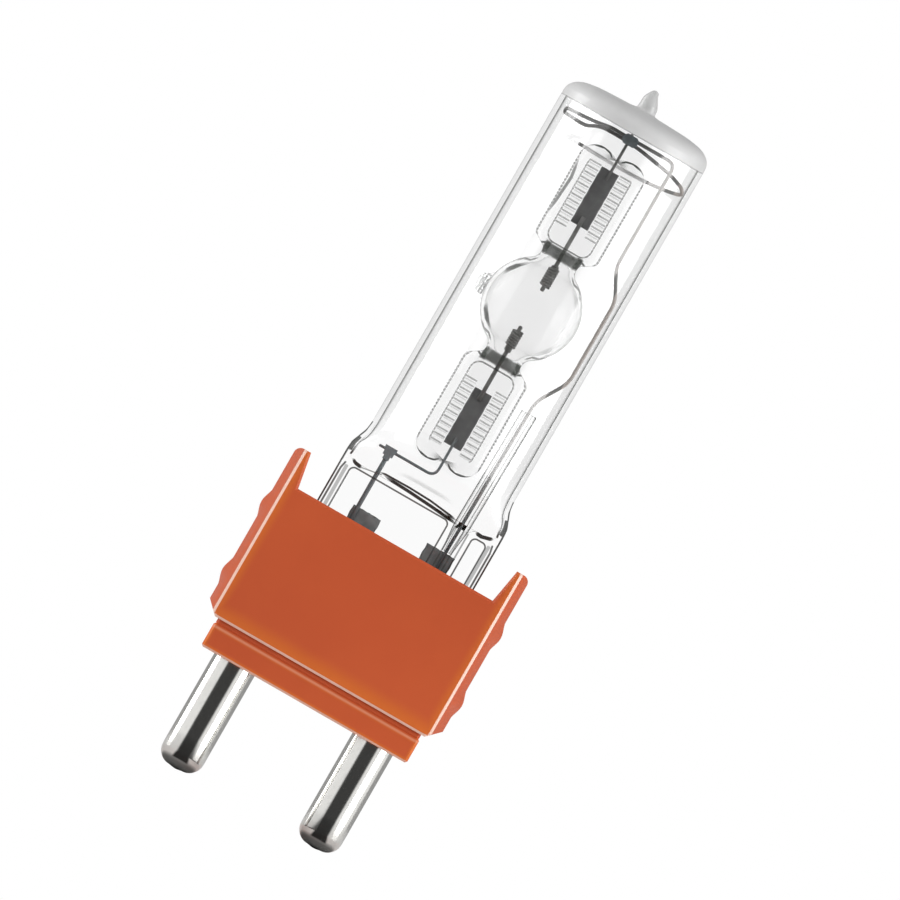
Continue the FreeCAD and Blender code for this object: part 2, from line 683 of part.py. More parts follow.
def jacket_forms():
    """The blown glass from the pinch to the exhaust tip, with the panels pressed into the
    pinch, and the form of its hollow."""
    half_width = pinch_width / 2
    half_depth = pinch_thickness / 2
    corner_start = jacket_radius - dome_corner
    crown = tube_top + dome_corner + crown_rise
    pinch = many_sided(half_width, half_depth, 6, jacket_sides)
    sections = [
        (pinch_bottom, pinch),
        (pinch_top, pinch),
        (pinch_top + shoulder_middle,
         many_sided(shoulder_width / 2, shoulder_depth / 2, 2.4, jacket_sides)),
        (shoulder_top, ring(jacket_radius, jacket_sides)),
        (tube_top, ring(jacket_radius, jacket_sides))]
    for radius, height in quarter(corner_start, tube_top, dome_corner, 0, 90, 3):
        sections.append((height, ring(radius, jacket_sides)))
    tip = ring(exhaust_tip_radius, jacket_sides)
    sections.append((crown, tip))
    sections.append((crown + exhaust_tip_height * 0.42, tip))
    sections.append((crown + exhaust_tip_height, ring(exhaust_tip_radius * 0.2, jacket_sides)))
    blown = drawn("jacket_blown", sections)

    inner_radius = jacket_radius - jacket_wall
    sections = [
        (pinch_top + jacket_wall * 0.8,
         many_sided(half_width - jacket_wall * 1.8, half_depth * 0.3, 3, jacket_sides)),
        (pinch_top + shoulder_middle + jacket_wall * 0.3,
         many_sided(shoulder_width / 2 - jacket_wall, shoulder_depth / 2 - jacket_wall * 1.1,
                    2.4, jacket_sides)),
        (shoulder_top, ring(inner_radius, jacket_sides)),
        (tube_top, ring(inner_radius, jacket_sides))]
    for radius, height in quarter(corner_start, tube_top, dome_corner - jacket_wall, 0, 90, 2):
        sections.append((height, ring(radius, jacket_sides)))
    sections.append((crown - crown_wall, ring(exhaust_tip_radius * 0.5, jacket_sides)))
    hollow = drawn("jacket_hollow", sections)

    body = body_on("jacket_pressed", blown)
    panel_top = pinch_top - panel_drop
    panel_end = pinch_bottom - 1
    panel_side = half_width - panel_rim
    straight = panel_top - panel_corner
    panels = [
        [(-panel_side, panel_end), (rib_left, panel_end), (rib_left, straight),
         (rib_left - panel_corner, panel_top, panel_corner),
         (panel_corner - panel_side, panel_top), (-panel_side, straight, panel_corner)],
        [(rib_right, panel_end), (panel_side, panel_end), (panel_side, straight),
         (panel_side - panel_corner, panel_top, panel_corner),
         (rib_right + panel_corner, panel_top), (rib_right, straight, panel_corner)]]
    web = half_depth - panel_depth
    pocket(body, "front_panels", "XZ_Plane", web, panels, pinch_thickness * 2, onward=True)
    pocket(body, "back_panels", "XZ_Plane", -web, panels, pinch_thickness * 2)
    return body, hollow


# Arc tube

def seal(body, name, side, end, ridge_pitch):
    """Presses one pinch seal, on the upper (1) or lower (-1) side of the bulb: lobes at its
    end, and a ridged window in both faces."""
    def at(distance):
        return arc_height + distance * side

    half_width = seal_width / 2
    lobe_start = end - seal_lobe
    dip_bend = (seal_lobe * seal_lobe + seal_dip * seal_dip) / (seal_dip * 2)
    outside = half_width + 1
    pocket(body, name + "_lobes", "XZ_Plane", 0, [[
        (outside, at(lobe_start)), (outside, at(end + 1)), (-outside, at(end + 1)),
        (-outside, at(lobe_start)), (-half_width, at(lobe_start)),
        (seal_lobe - half_width, at(end), -seal_lobe * side),
        (zero, at(end - seal_dip), -dip_bend * side),
        (half_width - seal_lobe, at(end), -dip_bend * side),
        (half_width, at(lobe_start), -seal_lobe * side)]], seal_width, both=True)

    half_window = window_width / 2
    window_end = end - seal_dip - window_margin
    window = [(half_window - window_round, at(window_start)),
              (half_window, at(window_start + window_round), window_round * side),
              (half_window, at(window_end)), (-half_window, at(window_end)),
              (-half_window, at(window_start + window_round)),
              (window_round - half_window, at(window_start), window_round * side)]
    web = web_thickness / 2
    pocket(body, name + "_front_window", "XZ_Plane", web, [window], seal_thickness,
           onward=True)
    pocket(body, name + "_back_window", "XZ_Plane", -web, [window], seal_thickness)

    first = at(window_start + window_round + ridge_pitch)
    half_ridge = ridge_height * 1.1
    sink = web - ridge_height / 2
    crest = web + ridge_height
    ridges = []
    for face in (-1, 1):
        ridges.append([(sink * face, first - half_ridge), (web * face, first - half_ridge),
                       (crest * face, first), (web * face, first + half_ridge),
                       (sink * face, first + half_ridge)])
    ridge = pad(body, name + "_ridge", "YZ_Plane", 0, ridges, window_width - ridge_height,
                both=True)
    count = int((window_end.value - window_start.value - window_round.value)
                / ridge_pitch.value) - 1
    row = body.newObject("PartDesign::LinearPattern", name + "_ridges")
    row.Refine = False
    row.Originals = [ridge]
    row.Direction = (origin_feature(body, "Z_Axis"), [""])
    row.Reversed = side < 0
    row.Occurrences = count
    bind(row, "Length", ridge_pitch * (count - 1))
    body.Tip = row


def burner_forms():
    """The quartz burner drawn from seal to seal and pressed, and the form of its cavity."""
    flat = many_sided(seal_width / 2, seal_thickness / 2, 5, burner_sides)
    halfway = many_sided(seal_width * 0.42, (neck_radius + seal_thickness / 2) / 2, 2.4,
                         burner_sides)
    neck = ring(neck_radius, burner_sides)
    outwards = [(neck_start, neck), (neck_end, neck), ((neck_end + seal_start) / 2, halfway),
                (seal_start, flat)]
    sections = [(arc_height - lower_seal_end, flat)]
    for distance, outline in reversed(outwards):
        sections.append((arc_height - distance, outline))
    for radius, height in quarter(0, arc_height, bulb_radius, -77, 58, 7):
        sections.append((height, ring(radius, burner_sides)))
    for distance, outline in outwards:
        sections.append((arc_height + distance, outline))
    sections.append((arc_height + upper_seal_end, flat))
    body = body_on("burner_pressed", drawn("burner_drawn", sections))
    doc.recompute()
    seal(body, "upper_seal", 1, upper_seal_end, upper_ridge_pitch)
    seal(body, "lower_seal", -1, lower_seal_end, lower_ridge_pitch)

    sections = [(arc_height - bulb_end_depth, ring(cavity_end_radius, burner_sides))]
    for radius, height in quarter(0, arc_height, bulb_radius - bulb_wall, -96, 72, 7):
        sections.append((height, ring(radius, burner_sides)))
    sections.append((arc_height + bulb_end_depth, ring(cavity_end_radius, burner_sides)))
    return body, drawn("burner_cavity", sections)


def tip_off_nub():
    """The stub left on the bulb's left side where it was filled and closed."""
    sink = bulb_wall * 0.5
    nub = drawn("tip_off_nub", [(-sink, ring(nub_radius, wire_sides)),
                                (nub_height * 0.7, ring(nub_end_radius, wire_sides)),
                                (nub_height, ring(nub_end_radius * 0.6, wire_sides))])
    nub.Placement = Placement(Vector(0, 0, 0), Rotation(Vector(0, 1, 0), -90))
    bind(nub, "Placement.Base.x", -bulb_radius)
    bind(nub, "Placement.Base.z", arc_height)
    return nub


# Electrodes

def coil(name, side, length, tail, rod):
    """The closed winding near the tip, and its first layer that runs on towards the seal."""
    start = arc_height + (arc_gap / 2 + coil_setback) * side
    step = start + length * side
    end = step + tail * side
    low, high = (start, end) if side > 0 else (end, start)
    layer = upright(name + "_layer", coil_tail_radius, zero, zero, low, high)
    low, high = (start, step) if side > 0 else (step, start)
    winding = upright(name + "_winding", coil_radius, zero, zero, low, high)
    return cut(name, fuse(name + "_layers", [layer, winding]), [rod])


def arc_foil(name, side):
    near = arc_height + arc_foil_start * side
    far = near + arc_foil_length * side
    low, high = (near, far) if side > 0 else (far, near)
    half = arc_foil_width / 2
    return box(name, (-half, half), (arc_foil_face, arc_foil_face + foil_thickness), (low, high))


def electrode_rod(name, side, foil):
    tip = arc_height + arc_gap * side / 2
    root = arc_height + (arc_foil_start + weld_length) * side
    low, high = (tip, root) if side > 0 else (root, tip)
    bar = upright(name + "_bar", rod_radius, zero, zero, low, high)
    return cut(name, bar, [foil])


# Conductors

def jacket_foil(name, centre, top):
    half = seal_foil_width / 2
    return box(name, (centre - half, centre + half), (-jacket_foil_face, jacket_foil_face),
               (foil_foot, roof + top))


def outer_lead(name, across, foil):
    bar = upright(name + "_bar", outer_lead_radius, across,
                  -(jacket_foil_face + outer_lead_radius - weld_depth),
                  tag_head, foil_foot + lead_overlap)
    return cut(name, bar, [foil])


def pin_tag(name, side, across):
    """A strip under the nut that narrows to a tongue below the outer lead."""
    body = new_body(name + "_strip")
    pin_axis = pin_spacing * side / 2
    outer = pin_axis + tag_radius * side
    inner = pin_axis - tag_radius * side
    end = across - tag_end_margin * side
    half = tag_width / 2
    pad(body, name + "_strip_pad", "XY_Plane", tag_foot,
        [[(outer, -tag_radius), (outer, tag_radius), (inner, tag_radius), (end, half),
          (end, -half), (inner, -tag_radius)]], tag_thickness)
    hole = upright(name + "_hole", stud_radius, pin_axis, zero, tag_foot, tag_head)
    return cut(name, body, [hole])


def pin_nut(name, side):
    pin_axis = pin_spacing * side / 2
    prism = doc.addObject("Part::Prism", name + "_prism")
    prism.Polygon = 6
    bind(prism, "Circumradius", nut_radius)
    bind(prism, "Height", nut_height)
    bind(prism, "Placement.Base.x", pin_axis)
    bind(prism, "Placement.Base.z", tag_head)
    hole = upright(name + "_hole", stud_radius, pin_axis, zero, tag_head, nut_head)
    return cut(name, prism, [hole])


def return_lead():
    """The long wire: up from the right foil, out round the bulb, and back over to the clamp."""
    end = top_clamp_middle - top_clamp_width * 0.35
    low = -return_depth
    high = -return_top_depth
    points = [
        point(return_foot, low, return_foot_height),
        point(return_knee, low, arc_height - return_knee_height),
        point(return_bow, high, arc_height - return_bow_height),
        point(return_bow, high, arc_height + return_bow_height),
        point(return_top, high, arc_height + return_knee_height),
        point(return_top, high, strand_height),
        point(end, high, strand_height)]
    knee = (return_bend.value, 2)
    return bent_wire("return_wire", return_radius, points,
                     [knee, knee, knee, knee, (return_corner.value, 3)])


def lower_arc_lead():
    """Down from the lower seal's foil and across to the clip on the post."""
    top = arc_height - (arc_foil_start + arc_foil_length - weld_length)
    points = [point(0, lower_lead_depth, top),
              point(0, lower_lead_depth, crossing_height),
              point(-(post_offset + lower_lead_end), lower_lead_depth, crossing_height)]
    return bent_wire("lower_arc_lead_wire", lower_lead_radius, points,
                     [(lower_lead_bend.value, 4)])


def support_spring():
    """One wire: a straight end pressed to the left wall on two strands, the lower of which
    runs on through the clamp to the right wall and follows the glass round the rear."""
    upper = strand_height.value
    lower = lower_strand_height.value
    sag = top_clamp_foot.value - spring_sag.value
    touch = wall_touch.value
    half_chord = spring_chord.value / 2.0
    chord_place = -math.sqrt(touch ** 2 - half_chord ** 2)
    inside = top_clamp_middle.value
    reach = top_clamp_width.value / 2.0 + 1.0
    depth = spring_depth.value
    points = [
        Vector(inside + reach - 2.0, depth, upper),
        Vector(inside - reach, depth, upper),
        Vector(chord_place, -half_chord, upper - 1.2),
        Vector(chord_place, half_chord, lower - 1.5),
        Vector(chord_place * 0.6, half_chord * 0.6, lower - 1.6),
        Vector(inside - reach, depth, lower),
        Vector(inside + reach, depth, lower),
        Vector(touch * 0.8, depth * 0.6, lower - 1.9),
        Vector(touch, depth * 0.4, sag + 2.2)]
    straight = (0.0, 0)
    hairpin = (spring_bend.value, 2)
    bends = [straight, hairpin, hairpin, straight, straight, straight, straight, straight]
    begin = 10.0
    step = (spring_hug.value - begin) / hug_sides
    for index in range(hug_sides + 1):
        turn = math.radians(begin + step * index)
        height = sag + 1.2 * max(0.0, 1.0 - index * 0.6)
        points.append(Vector(touch * math.cos(turn), touch * math.sin(turn), height))
        bends.append(straight)
    bends.pop()
    return bent_wire("top_support_spring", spring_radius, points, bends)


def leaning_bar(radius, base, heading, length):
    outline = Part.Circle(base, heading, value_of(radius)).discretize(wire_sides + 1)
    return flat_face(outline[:-1]).extrude(heading * length)


def quartz_sleeve():
    """A tube that leans with the lead inside it; its foot is sealed into the pinch."""
    foot = point(return_foot, -return_depth, return_foot_height)
    knee = point(return_knee, -return_depth, arc_height - return_knee_height)
    heading = (knee - foot).normalize()
    low = (roof + right_foil_top + sleeve_gap).value
    high = (arc_height - return_knee_height - sleeve_top_gap).value
    base = foot + heading * ((low - foot.z) / heading.z) + Vector(sleeve_offset.value, 0, 0)
    length = (high - low) / heading.z
    whole = leaning_bar(sleeve_radius, base, heading, length)
    tube = doc.addObject("Part::Feature", "quartz_sleeve")
    tube.Shape = whole.cut(leaning_bar(sleeve_bore, base, heading, length))
    tube.Placement = Placement(Vector(0, 0, 0), Rotation())
    form = doc.addObject("Part::Feature", "sleeve_form")
    form.Shape = whole
    form.Placement = Placement(Vector(0, 0, 0), Rotation())
    return tube, form


# Clamps

def top_clamp_block():
    """A crimp with cut corners, closed round the lead, the return lead and the spring."""
    body = new_body("top_clamp_block")
    left = top_clamp_middle - top_clamp_width / 2
    right = top_clamp_middle + top_clamp_width / 2
    corner = top_clamp_corner
    outline = [
        (left + corner, top_clamp_foot), (right - corner, top_clamp_foot),
        (right, top_clamp_foot + corner), (right, top_clamp_head - corner),
        (right - corner, top_clamp_head), (left + corner, top_clamp_head),
        (left, top_clamp_head - corner), (left, top_clamp_foot + corner)]
    back = spring_depth + spring_radius + clamp_cover
    front = return_top_depth + return_radius + clamp_cover
    pad(body, "top_clamp_strip", "XZ_Plane", -back, [outline], back + front)
    return body


def post_clamp_block():
    """A folded clip, stepped in to the post below the lead that crosses it."""
    body = new_body("post_clamp_block")
    head = crossing_height + post_clamp_rise
    waist = head - post_clamp_height * 0.35
    hip = head - post_clamp_height * 0.7
    foot = head - post_clamp_height
    wide = post_clamp_width / 2
    middle = post_clamp_width * 0.41
    narrow = post_radius + clamp_cover * 0.7
    axis = -post_offset
    pad(body, "post_clamp_fold", "XZ_Plane", -(lower_lead_depth + lower_lead_radius + clamp_cover),
        [[(axis - narrow, foot), (axis + narrow, foot), (axis + narrow, hip),
          (axis + middle, hip), (axis + middle, waist), (axis + wide, waist),
          (axis + wide, head), (axis - wide, head), (axis - wide, waist),
          (axis - middle, waist), (axis - middle, hip), (axis - narrow, hip)]],
        lower_lead_depth + lower_lead_radius + post_depth + post_radius + clamp_cover * 2)
    return body


# Assembly

parts = []


def finish(label, item):
    """Names a finished piece and adds it to the lamp."""
    item.Label = label
    parts.append(item)
    return item


plate_holes = []
for hand, place in (("left", -pin_spacing / 2), ("right", pin_spacing / 2)):
    plate_holes.append(upright(hand + "_stud_hole", stud_radius + stud_clearance, place, zero,
                               zero, tag_foot))
    plate_holes.append(upright(hand + "_pin_recess", pin_radius + pin_recess_clearance, place,
                               zero, zero, pin_recess, jacket_sides))
finish("base_plate", cut("plate_drilled", base_plate(), plate_holes))
for hand, side, lead_place in (("left", -1, -left_lead_offset), ("right", 1, right_lead_offset)):
    finish(hand + "_contact_pin", contact_pin(hand + "_pin_body", side))
    finish(hand + "_pin_tag", pin_tag(hand + "_tag", side, lead_place))
    finish(hand + "_pin_nut", pin_nut(hand + "_nut", side))

front_half = finish("housing_front", housing_front())
finish("housing_back", housing_back(front_half))

left_foil = finish("left_seal_foil", jacket_foil("left_foil_strip", -left_foil_offset,
                                                 left_foil_top))
right_foil = finish("right_seal_foil", jacket_foil("right_foil_strip", right_foil_offset,
                                                   right_foil_top))
left_outer = finish("left_outer_lead", outer_lead("left_outer", -left_lead_offset, left_foil))
right_outer = finish("right_outer_lead", outer_lead("right_outer", right_lead_offset,
                                                    right_foil))
post_bar = upright("left_post_bar", post_radius, -post_offset, -post_depth,
                   roof + left_foil_top - lead_overlap,
                   crossing_height - lower_lead_radius - post_gap)
left_post = finish("left_post", cut("post_on_foil", post_bar, [left_foil]))

return_wire = return_lead()
return_piece = finish("return_lead", cut("return_on_foil", return_wire, [right_foil]))
sleeve, sleeve_whole = quartz_sleeve()
finish("quartz_sleeve", sleeve)

upper_foil = finish("upper_arc_foil", arc_foil("upper_foil_strip", 1))
lower_foil = finish("lower_arc_foil", arc_foil("lower_foil_strip", -1))
upper_rod = finish("upper_electrode_rod", electrode_rod("upper_rod", 1, upper_foil))
lower_rod = finish("lower_electrode_rod", electrode_rod("lower_rod", -1, lower_foil))
finish("upper_electrode_coil", coil("upper_coil", 1, upper_coil_length, upper_coil_tail,
                                    upper_rod))
finish("lower_electrode_coil", coil("lower_coil", -1, lower_coil_length, lower_coil_tail,
                                    lower_rod))

upper_lead_bar = upright("upper_lead_bar", upper_lead_radius, upper_lead_offset,
                         upper_lead_depth,
                         arc_height + (arc_foil_start + arc_foil_length - weld_length),
                         top_clamp_head + clamp_cover)
upper_lead = finish("upper_arc_lead", cut("upper_lead_on_foil", upper_lead_bar, [upper_foil]))
lower_lead = finish("lower_arc_lead", cut("lower_lead_on_foil", lower_arc_lead(),
                                          [lower_foil]))
spring = finish("top_support_spring", support_spring())
finish("top_clamp", cut("top_clamp_crimp", top_clamp_block(), [upper_lead, return_wire,
                                                               spring]))
finish("post_clamp", cut("post_clamp_clip", post_clamp_block(), [left_post, lower_lead]))

burner, cavity = burner_forms()
finish("arc_tube", cut("burner_glass", fuse("burner_with_nub", [burner, tip_off_nub()]),
                       [cavity, upper_foil, lower_foil, upper_rod, lower_rod, upper_lead,
                        lower_lead]))
jacket, hollow = jacket_forms()
finish("outer_envelope", cut("jacket_glass", jacket,
                             [hollow, left_foil, right_foil, left_post, sleeve_whole,
                              return_piece, left_outer, right_outer]))

inner_half = housing_width / 2 - housing_side_wall
inner_depth = housing_depth / 2 - housing_wall
cement_block = box("cement_block", (-inner_half, inner_half), (-inner_depth, inner_depth),
                   (roof - cement_depth, roof - housing_wall))
finish("base_cement", cut("cement_cast", cement_block, [jacket]))


# Check and write

doc.recompute()
for item in doc.Objects:
    if "Invalid" in item.State or "Error" in item.State:
        raise ValueError("%s did not build: %s" % (item.Label, item.State))
for item in doc.Objects:
    removes = item.TypeId == "PartDesign::Pocket"
    if removes and item.Shape.Volume > item.BaseFeature.Shape.Volume - 0.01:
        raise ValueError(item.Label + " cuts nothing")
for item in parts:
    if item.Shape.isNull() or not item.Shape.isValid() or not item.Shape.Solids:
        raise ValueError(item.Label + " is not a sound solid")

os.makedirs("parts", exist_ok=True)
for item in parts:
    item.Shape.exportStep("parts/" + item.Label + ".step")
print("%d nodes, %d solids" % (len(parts), sum(len(item.Shape.Solids) for item in parts)))
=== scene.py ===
import functools
import math

import bmesh
import bpy
import numpy as np
from bpy.props import FloatProperty, FloatVectorProperty, PointerProperty
from mathutils import Matrix, Vector


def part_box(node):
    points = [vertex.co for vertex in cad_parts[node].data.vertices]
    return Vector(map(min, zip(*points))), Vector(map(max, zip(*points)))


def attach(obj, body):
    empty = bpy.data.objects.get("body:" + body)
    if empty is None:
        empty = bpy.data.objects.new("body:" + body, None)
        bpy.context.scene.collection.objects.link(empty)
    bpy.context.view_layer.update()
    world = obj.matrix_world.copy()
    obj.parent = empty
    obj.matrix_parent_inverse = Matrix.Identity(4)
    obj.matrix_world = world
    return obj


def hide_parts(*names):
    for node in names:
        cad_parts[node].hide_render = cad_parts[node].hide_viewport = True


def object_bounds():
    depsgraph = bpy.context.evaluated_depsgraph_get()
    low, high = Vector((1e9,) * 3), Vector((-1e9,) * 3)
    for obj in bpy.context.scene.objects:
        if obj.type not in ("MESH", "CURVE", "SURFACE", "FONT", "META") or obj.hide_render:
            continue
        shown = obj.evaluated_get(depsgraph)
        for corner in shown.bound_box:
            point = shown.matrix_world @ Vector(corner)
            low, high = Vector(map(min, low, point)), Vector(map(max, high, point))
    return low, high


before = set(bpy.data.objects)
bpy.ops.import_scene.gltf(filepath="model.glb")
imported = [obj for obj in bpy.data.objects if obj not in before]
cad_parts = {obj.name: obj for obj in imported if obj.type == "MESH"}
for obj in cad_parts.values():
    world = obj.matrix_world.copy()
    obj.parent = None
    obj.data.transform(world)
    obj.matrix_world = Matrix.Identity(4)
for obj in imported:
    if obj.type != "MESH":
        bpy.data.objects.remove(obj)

bl_info = {
    "name": "Metal halide lamp",
    "version": (1, 0, 0),
    "blender": (4, 5, 0),
    "location": "View3D > Sidebar > Lamp",
    "description": "Glass, burner, leads, base and pins of a single-ended metal halide lamp",
    "category": "Add Mesh",
}

cad_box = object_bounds()
MM = 0.001


def cad(node):
    """Lowest and highest corner of a node of the frame, in millimetres."""
    low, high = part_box(node)
    return np.array(low) / MM, np.array(high) / MM


# Sizes and colours

def length(name, description, default):
    return FloatProperty(name=name, description=description, default=default * MM,
                         unit="LENGTH", subtype="DISTANCE", precision=5)


def colour(name, description, red, green, blue):
    """A colour given as it looks on the screen, from 0 to 255."""
    shares = [channel / 255 for channel in (red, green, blue)]
    linear = [s / 12.92 if s <= 0.04045 else ((s + 0.055) / 1.055) ** 2.4 for s in shares]
    return FloatVectorProperty(name=name, description=description, default=linear,
                               subtype="COLOR", size=3, min=0.0, max=1.0)


class LampSizes(bpy.types.PropertyGroup):
    """Sizes that the pieces are worked out from."""
    glass_radius: length("Glass radius", "Outer radius of the jacket", cad("outer_envelope")[1][1])
    glass_wall: length("Glass wall", "Thickness of the jacket", 1.25)
    pinch_half: length("Pinch half width", "Half the width of the jacket's pinch",
                       cad("outer_envelope")[1][0])
    frost_edge: length("Frost edge", "Height where the frosted dome begins", 157.3)
    arc_height: length("Arc height", "Height of the arc's middle", 109.1)
    bulb_radius: length("Bulb radius", "Outer radius of the burner's bulb", 12.2)
    bulb_wall: length("Bulb wall", "Thickness of the burner's bulb", 0.9)
    pin_radius: length("Pin radius", "Radius of a contact pin", 5.55)
    pin_spacing: length("Pin spacing", "Between the axes of the contact pins", 38.1)
    soft_edge: length("Soft edge", "Rounding of the moulded base's edges", 0.3)


class LampColours(bpy.types.PropertyGroup):
    """Colours of the finishes."""
    orange: colour("Base", "Orange moulding", 196, 86, 49)
    orange_light: colour("Base, paler", "Paler flow in the moulding", 202, 92, 51)
    # Painted glow: a warmer orange along the edges of the broad faces, and a painted highlight
    # line on the plate.
    painted_edge_glow: colour("Base, edges", "Warmer orange along the edges of a face", 216, 112, 44)
    # Painted tone: a more saturated orange on the flanks, offsetting their pale grazing
    # reflection.
    orange_side: colour("Base, flanks", "Orange of the drafted flanks", 196, 80, 28)
    # Painted highlight on the moulding's bevels and along the plate's foot and top line.
    painted_bevel_highlight: colour("Base, bevels", "Pale bevels of the moulding", 240, 206, 190)
    nickel: colour("Pins", "Plating of the contact pins", 238, 237, 233)
    wire: colour("Wire", "Post, spring and burner leads", 104, 104, 102)
    # Painted reflection: the soft boxes mirrored in the glass, laid on the wire at the right.
    wire_pale: colour("Wire, lit", "Return lead and spring at the right", 196, 186, 180)
    # Painted offset of bounce light: a bluish grey on the low leads, against the orange light the
    # base throws on them.
    wire_cool: colour("Wire, foot", "Leads above the base, where the metal is cooler",
                      106, 113, 116)
    tungsten: colour("Electrodes", "Rods and windings", 126, 126, 124)
    foil: colour("Foils", "Foils in the burner's seals", 108, 108, 108)
    seal_foil: colour("Seal foils", "Foils in the jacket's pinch", 132, 137, 138)
    clamp: colour("Clamps", "Folded clamps", 116, 124, 127)
    # Also the colour of the painted shade on the glass.
    glass_shade: colour("Glass shade", "Dark of the glass where it is seen edge-on", 44, 50, 42)
    frost: colour("Frost", "Frosted dome", 221, 221, 221)
    cement: colour("Cement", "Cement in the base", 214, 208, 192)
    brass: colour("Brass", "Tags on the pins", 200, 176, 116)


# Finishes

def arithmetic(operation, turned=False):
    """A method that adds one Math node. Turned, the other value comes first."""
    def method(signal, other=0.0):
        first, second = (other, signal) if turned else (signal, other)
        return signal.finish.node("Math", {"operation": operation}, {0: first, 1: second})
    return method


class Signal:
    """A value that changes over a surface; arithmetic on it adds the nodes that work it out."""

    def __init__(self, finish, socket):
        self.finish = finish
        self.socket = socket

    __add__, __radd__ = arithmetic("ADD"), arithmetic("ADD", True)
    __sub__, __rsub__ = arithmetic("SUBTRACT"), arithmetic("SUBTRACT", True)
    __mul__, __rmul__ = arithmetic("MULTIPLY"), arithmetic("MULTIPLY", True)
    __truediv__ = arithmetic("DIVIDE")
    __pow__ = arithmetic("POWER")
    least = arithmetic("MINIMUM")
    most = arithmetic("MAXIMUM")
    size = arithmetic("ABSOLUTE")


def strongest(*marks):
    """The greatest of several values, place by place."""
    return functools.reduce(Signal.most, marks)


class Finish:
    """One material or world, built node by node."""

    def __init__(self, owner):
        owner.use_nodes = True
        self.owner = owner
        self.tree = owner.node_tree
        self.tree.nodes.clear()

    def node(self, kind, settings=None, inputs=None, output=0):
        """Adds a node: its settings first, then the values or links of its sockets."""
        node = self.tree.nodes.new("ShaderNode" + kind)
        for key, value in (settings or {}).items():
            setattr(node, key, value)
        for key, value in (inputs or {}).items():
            if isinstance(value, Signal):
                self.tree.links.new(value.socket, node.inputs[key])
            else:
                node.inputs[key].default_value = value
        return Signal(self, node.outputs[output])

    def split(self, vector):
        """The three parts of a vector."""
        node = self.tree.nodes.new("ShaderNodeSeparateXYZ")
        self.tree.links.new(vector.socket, node.inputs[0])
        return [Signal(self, socket) for socket in node.outputs]

    def place(self):
        """Object coordinates in millimetres, whole and as three signals."""
        metres = self.node("TexCoord", output="Object")
        place = self.node("VectorMath", {"operation": "SCALE"}, {0: metres, "Scale": 1 / MM})
        return place, self.split(place)

    def noise(self, place, scale, detail=3.0, stretch=None):
        """Cloudy noise from 0 to 1, its scale in cycles for each millimetre."""
        if stretch:
            place = self.node("VectorMath", {"operation": "MULTIPLY"}, {0: place, 1: stretch})
        return self.node("TexNoise", {}, {"Vector": place, "Scale": scale, "Detail": detail,
                                          "Roughness": 0.55})

    def rise(self, value, low, high):
        """0 below low, 1 above high, and a smooth rise between."""
        return self.node("MapRange", {"interpolation_type": "SMOOTHSTEP"},
                         {"Value": value, "From Min": low, "From Max": high})

    def within(self, value, low, high, soft=0.2):
        """1 between low and high."""
        return self.rise(value, low - soft, low + soft) * (
            1.0 - self.rise(value, high - soft, high + soft))

    def line(self, along, knots):
        """A place that follows the knots (along, place) by straight stretches."""
        place = knots[0][1]
        for (start, low), (end, high) in zip(knots, knots[1:]):
            place = place + self.node("MapRange", {}, {
                "Value": along, "From Min": start, "From Max": end, "To Max": high - low})
        return place

    def strokes(self, along, beside, table, soft=0.18):
        """Lines through knots (along, beside): 1 on a line and 0 off it, thinner and fainter
        over the taper at both ends. A row is (strength, width, taper, knots), and where two
        lines cross, the stronger counts."""
        marks = []
        for strength, width, taper, knots in table:
            away = (beside - self.line(along, knots)).size()
            start, end = knots[0][0], knots[-1][0]
            inside = self.rise(along, start - 0.1, start + taper) * (
                1.0 - self.rise(along, end - taper, end + 0.1))
            mark = (1.0 - self.rise(away - inside * (width / 2), 0.0, soft)) * inside
            marks.append(mark * strength)
        return strongest(*marks)

    def outline(self, across, up, middle, half, corner, width):
        """1 on the outline of a rectangle with round corners, by the distance to it."""
        soft = 0.15
        beside = (across - middle[0]).size() - (half[0] - corner)
        above = (up - middle[1]).size() - (half[1] - corner)
        reach = (beside.most(0.0) ** 2.0 + above.most(0.0) ** 2.0) ** 0.5
        away = (reach + beside.most(above).least(0.0) - corner).size()
        return 1.0 - self.rise(away, width / 2, width / 2 + soft)

    def rows(self, up, first, pitch, width, soft=0.2):
        """1 on lines at every pitch, by the distance to the nearest."""
        cycle = self.node("Math", {"operation": "FRACT"}, {0: (up - first) / pitch + 100.5})
        away = (cycle - 0.5).size() * pitch
        return 1.0 - self.rise(away, width / 2, width / 2 + soft)

    def blend(self, share, first, second):
        """A colour between two colours."""
        return self.node("Mix", {"data_type": "RGBA"}, {0: share, 6: first, 7: second}, 2)

    def coats(self, base, *coats):
        """Colours laid over a base in order, each given as (share, colour)."""
        for share, tint in coats:
            base = self.blend(share, base, tint)
        return base

    def bump(self, height, strength, distance):
        return self.node("Bump", {}, {"Height": height, "Strength": strength,
                                      "Distance": distance * MM})

    def mix(self, share, first, second):
        """A shader between two shaders."""
        return self.node("MixShader", {}, {0: share, 1: first, 2: second})

    def close(self, shader, kind="OutputMaterial"):
        """Shows the shader, and gives back the material or world."""
        output = self.tree.nodes.new("ShaderNode" + kind)
        self.tree.links.new(shader.socket, output.inputs["Surface"])
        return self.owner


def new_finish(name):
    return Finish(bpy.data.materials.new(name))


def full(tint, share=1.0):
    """A colour with its alpha, darkened or brightened by the share."""
    return (tint[0] * share, tint[1] * share, tint[2] * share, 1.0)


def grey(level):
    return (level, level, level, 1.0)


